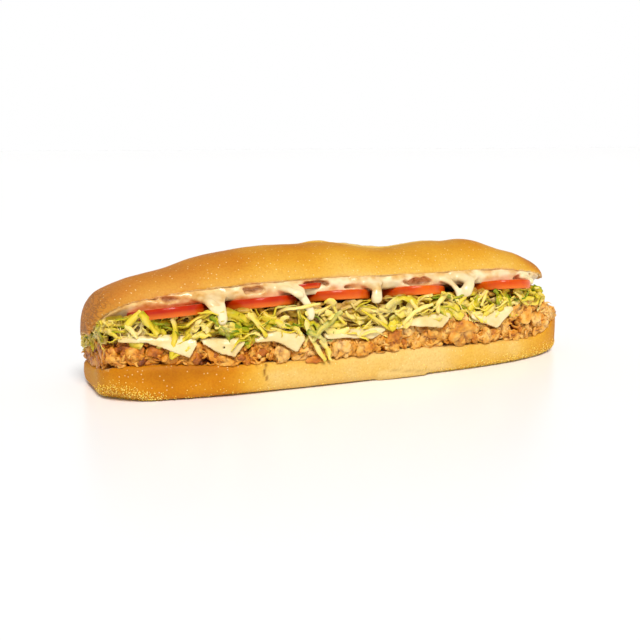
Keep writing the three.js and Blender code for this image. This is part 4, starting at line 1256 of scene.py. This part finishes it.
def drip(x, tip_x, tip_z, radius):
    """A run of sauce that leaves the band wide and narrows to a rounded tip."""
    root_y = lid_front(x) + 3
    root_z = upper_cut(x, root_y) - 2.4
    front = max(TOMATO_FRONT, float(roll_front(np.clip(tip_x, -143, 143))) + 3) - radius * 0.5 - 0.35
    path = along_path([(x, root_y + 4, root_z), (x, root_y - 1, root_z - 0.5),
                       (mix(x, tip_x, 0.4), mix(root_y, front, 0.85), mix(root_z, tip_z, 0.3)),
                       (tip_x, front, mix(root_z, tip_z, 0.68)), (tip_x, front + 0.3, tip_z)], DRIP_RINGS)
    t = np.linspace(0, 1, DRIP_RINGS)
    uneven = value_noise(xyz(t * 20, x, 0), 5, 78)
    swollen = 0.12 * smoothstep(0.7, 0.9, t)
    widths = radius * (0.9 + 2.1 * (1 - smoothstep(0.05, 0.62, t)) + swollen + 0.1 * uneven)
    depths = radius * (0.62 + 0.3 * (1 - smoothstep(0.05, 0.6, t)) + swollen)
    close = np.sqrt(np.clip(1 - ((t - 0.84) / 0.16) ** 2, 0.04, 1)) ** (t > 0.84)
    tangent = unit(np.gradient(path, axis=0))
    across = unit(np.array([1.0, 0, 0]) - tangent * tangent[:, :1])
    return rope(path, across, widths * close, depths * close, DRIP_SIDES)


def make_sauce(material):
    parts = [(*sauce_body(), {})] + [(*drip(*one), {}) for one in DRIPS]
    points, triangles, _ = gathered(parts)
    sauce = remeshed(make_piece("white_sauce", points, triangles, material), SAUCE_VOXEL, 0.6, 7)
    x, y, z = points_of(sauce).T
    add_attribute(sauce, "bare", pocket_depth(x, z) * (y < lid_front(x) + 9) * (y > lid_front(x) + 1.5))
    # Thin under the lip and towards the left, where the lid's crumb shows through.
    below = upper_cut(x, lid_front(x) + 1.5) - z
    place = xyz(x, 0, 1.7 * z)
    thin = 0.42 * smoothstep(2.6, 0.4, below) + 0.4 * smoothstep(-70, -112, x) - 0.25 * smoothstep(30, 70, x)
    thin += 0.35 + 0.55 * value_noise(place, 7, 81) + 0.4 * value_noise(place, 2.6, 82)
    add_attribute(sauce, "thin", np.clip(thin, 0, 1) * (below < 7))
    return sauce


def sauce_material():
    material, shader = new_material(
        "white_sauce", Roughness=0.22, Subsurface_Weight=0.2, Subsurface_Radius=(0.004, 0.0035, 0.002))
    colour = ramp(material, mapped_noise(material, 70, 2), [(0.35, "#E4D09C"), (0.65, "#EEDEB4")])
    thin = ramp(material, mapped_noise(material, 260, 3), [(0.3, "#C68E3C"), (0.7, "#E2BE7C")])
    colour = blended(material, attribute(material, "thin"), colour, thin)
    crumb = ramp(material, mapped_noise(material, 420, 3), [(0.3, "#A86C38"), (0.65, "#E0B684")])
    colour = blended(material, attribute(material, "bare"), colour, crumb)
    return finished(material, shader, colour, (mapped_noise(material, 200, 2), 0.0003))


sauce = make_sauce(sauce_material())
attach(sauce, "root")
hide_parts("sauce")


# ---------------------------------------------------------------- floor, lights and camera
def make_floor():
    """A wide pale floor."""
    reach = 9000.0
    corners = np.array([(-reach, -reach, 0), (reach, -reach, 0), (reach, reach, 0), (-reach, reach, 0)])
    material, _ = new_material("pale_floor", Roughness=0.28, Base_Color=(1.0, 1.0, 1.0, 1))
    floor = make_piece("floor", corners, [(0, 1, 2, 3)], material)


def make_sun(towards, strength, angle):
    """A soft light from far away: its direction seen from the food, and its width in degrees."""
    light = bpy.data.lights.new("softbox", "SUN")
    light.energy = strength
    light.angle = math.radians(angle)
    light.color = (1.0, 0.995, 0.985)
    lamp = bpy.data.objects.new("softbox", light)
    lamp.rotation_mode = "QUATERNION"
    lamp.rotation_quaternion = (-Vector(towards)).to_track_quat("-Z", "Y")
    bpy.context.scene.collection.objects.link(lamp)


def make_world(low, high):
    """A white room, this bright near the horizon and this bright overhead."""
    world = bpy.data.worlds.new("studio")
    world.use_nodes = True
    up = add_node(world, "ShaderNodeSeparateXYZ", {
        "Vector": add_node(world, "ShaderNodeTexCoord").outputs["Generated"]})
    strength = rescaled(world, up.outputs["Z"], 0.15, 0.4, low, high)
    background = world.node_tree.nodes["Background"]
    background.inputs["Color"].default_value = (1, 1, 1, 1)
    link(world, strength, background.inputs["Strength"])
    bpy.context.scene.world = world


# The camera that was fitted to the photo: lens and sensor width, place and aim, in millimetres.
LENS, SENSOR = 55.63, 36
CAMERA_PLACE, CAMERA_AIM = (-251.58, -527.46, 135.99), (-6.69, 9.90, 26.01)


def make_camera():
    place, aim = ((np.array(point) + ORIGIN) * 0.001 for point in (CAMERA_PLACE, CAMERA_AIM))
    camera = bpy.data.objects.new("camera", bpy.data.cameras.new("camera"))
    camera.data.lens, camera.data.sensor_width = LENS, SENSOR
    camera.data.clip_start, camera.data.clip_end = 0.01, 20
    camera.location = place
    camera.rotation_mode = "QUATERNION"
    camera.rotation_quaternion = Vector(aim - place).to_track_quat("-Z", "Y")
    bpy.context.scene.collection.objects.link(camera)
    bpy.context.scene.camera = camera


# The colours were matched to the photo under this view transform.
bpy.context.scene.view_settings.view_transform = "Standard"
make_floor()
make_world(1.0, 0.35)
make_sun((-0.12, -0.72, 0.85), 2.95, 24)
make_camera()
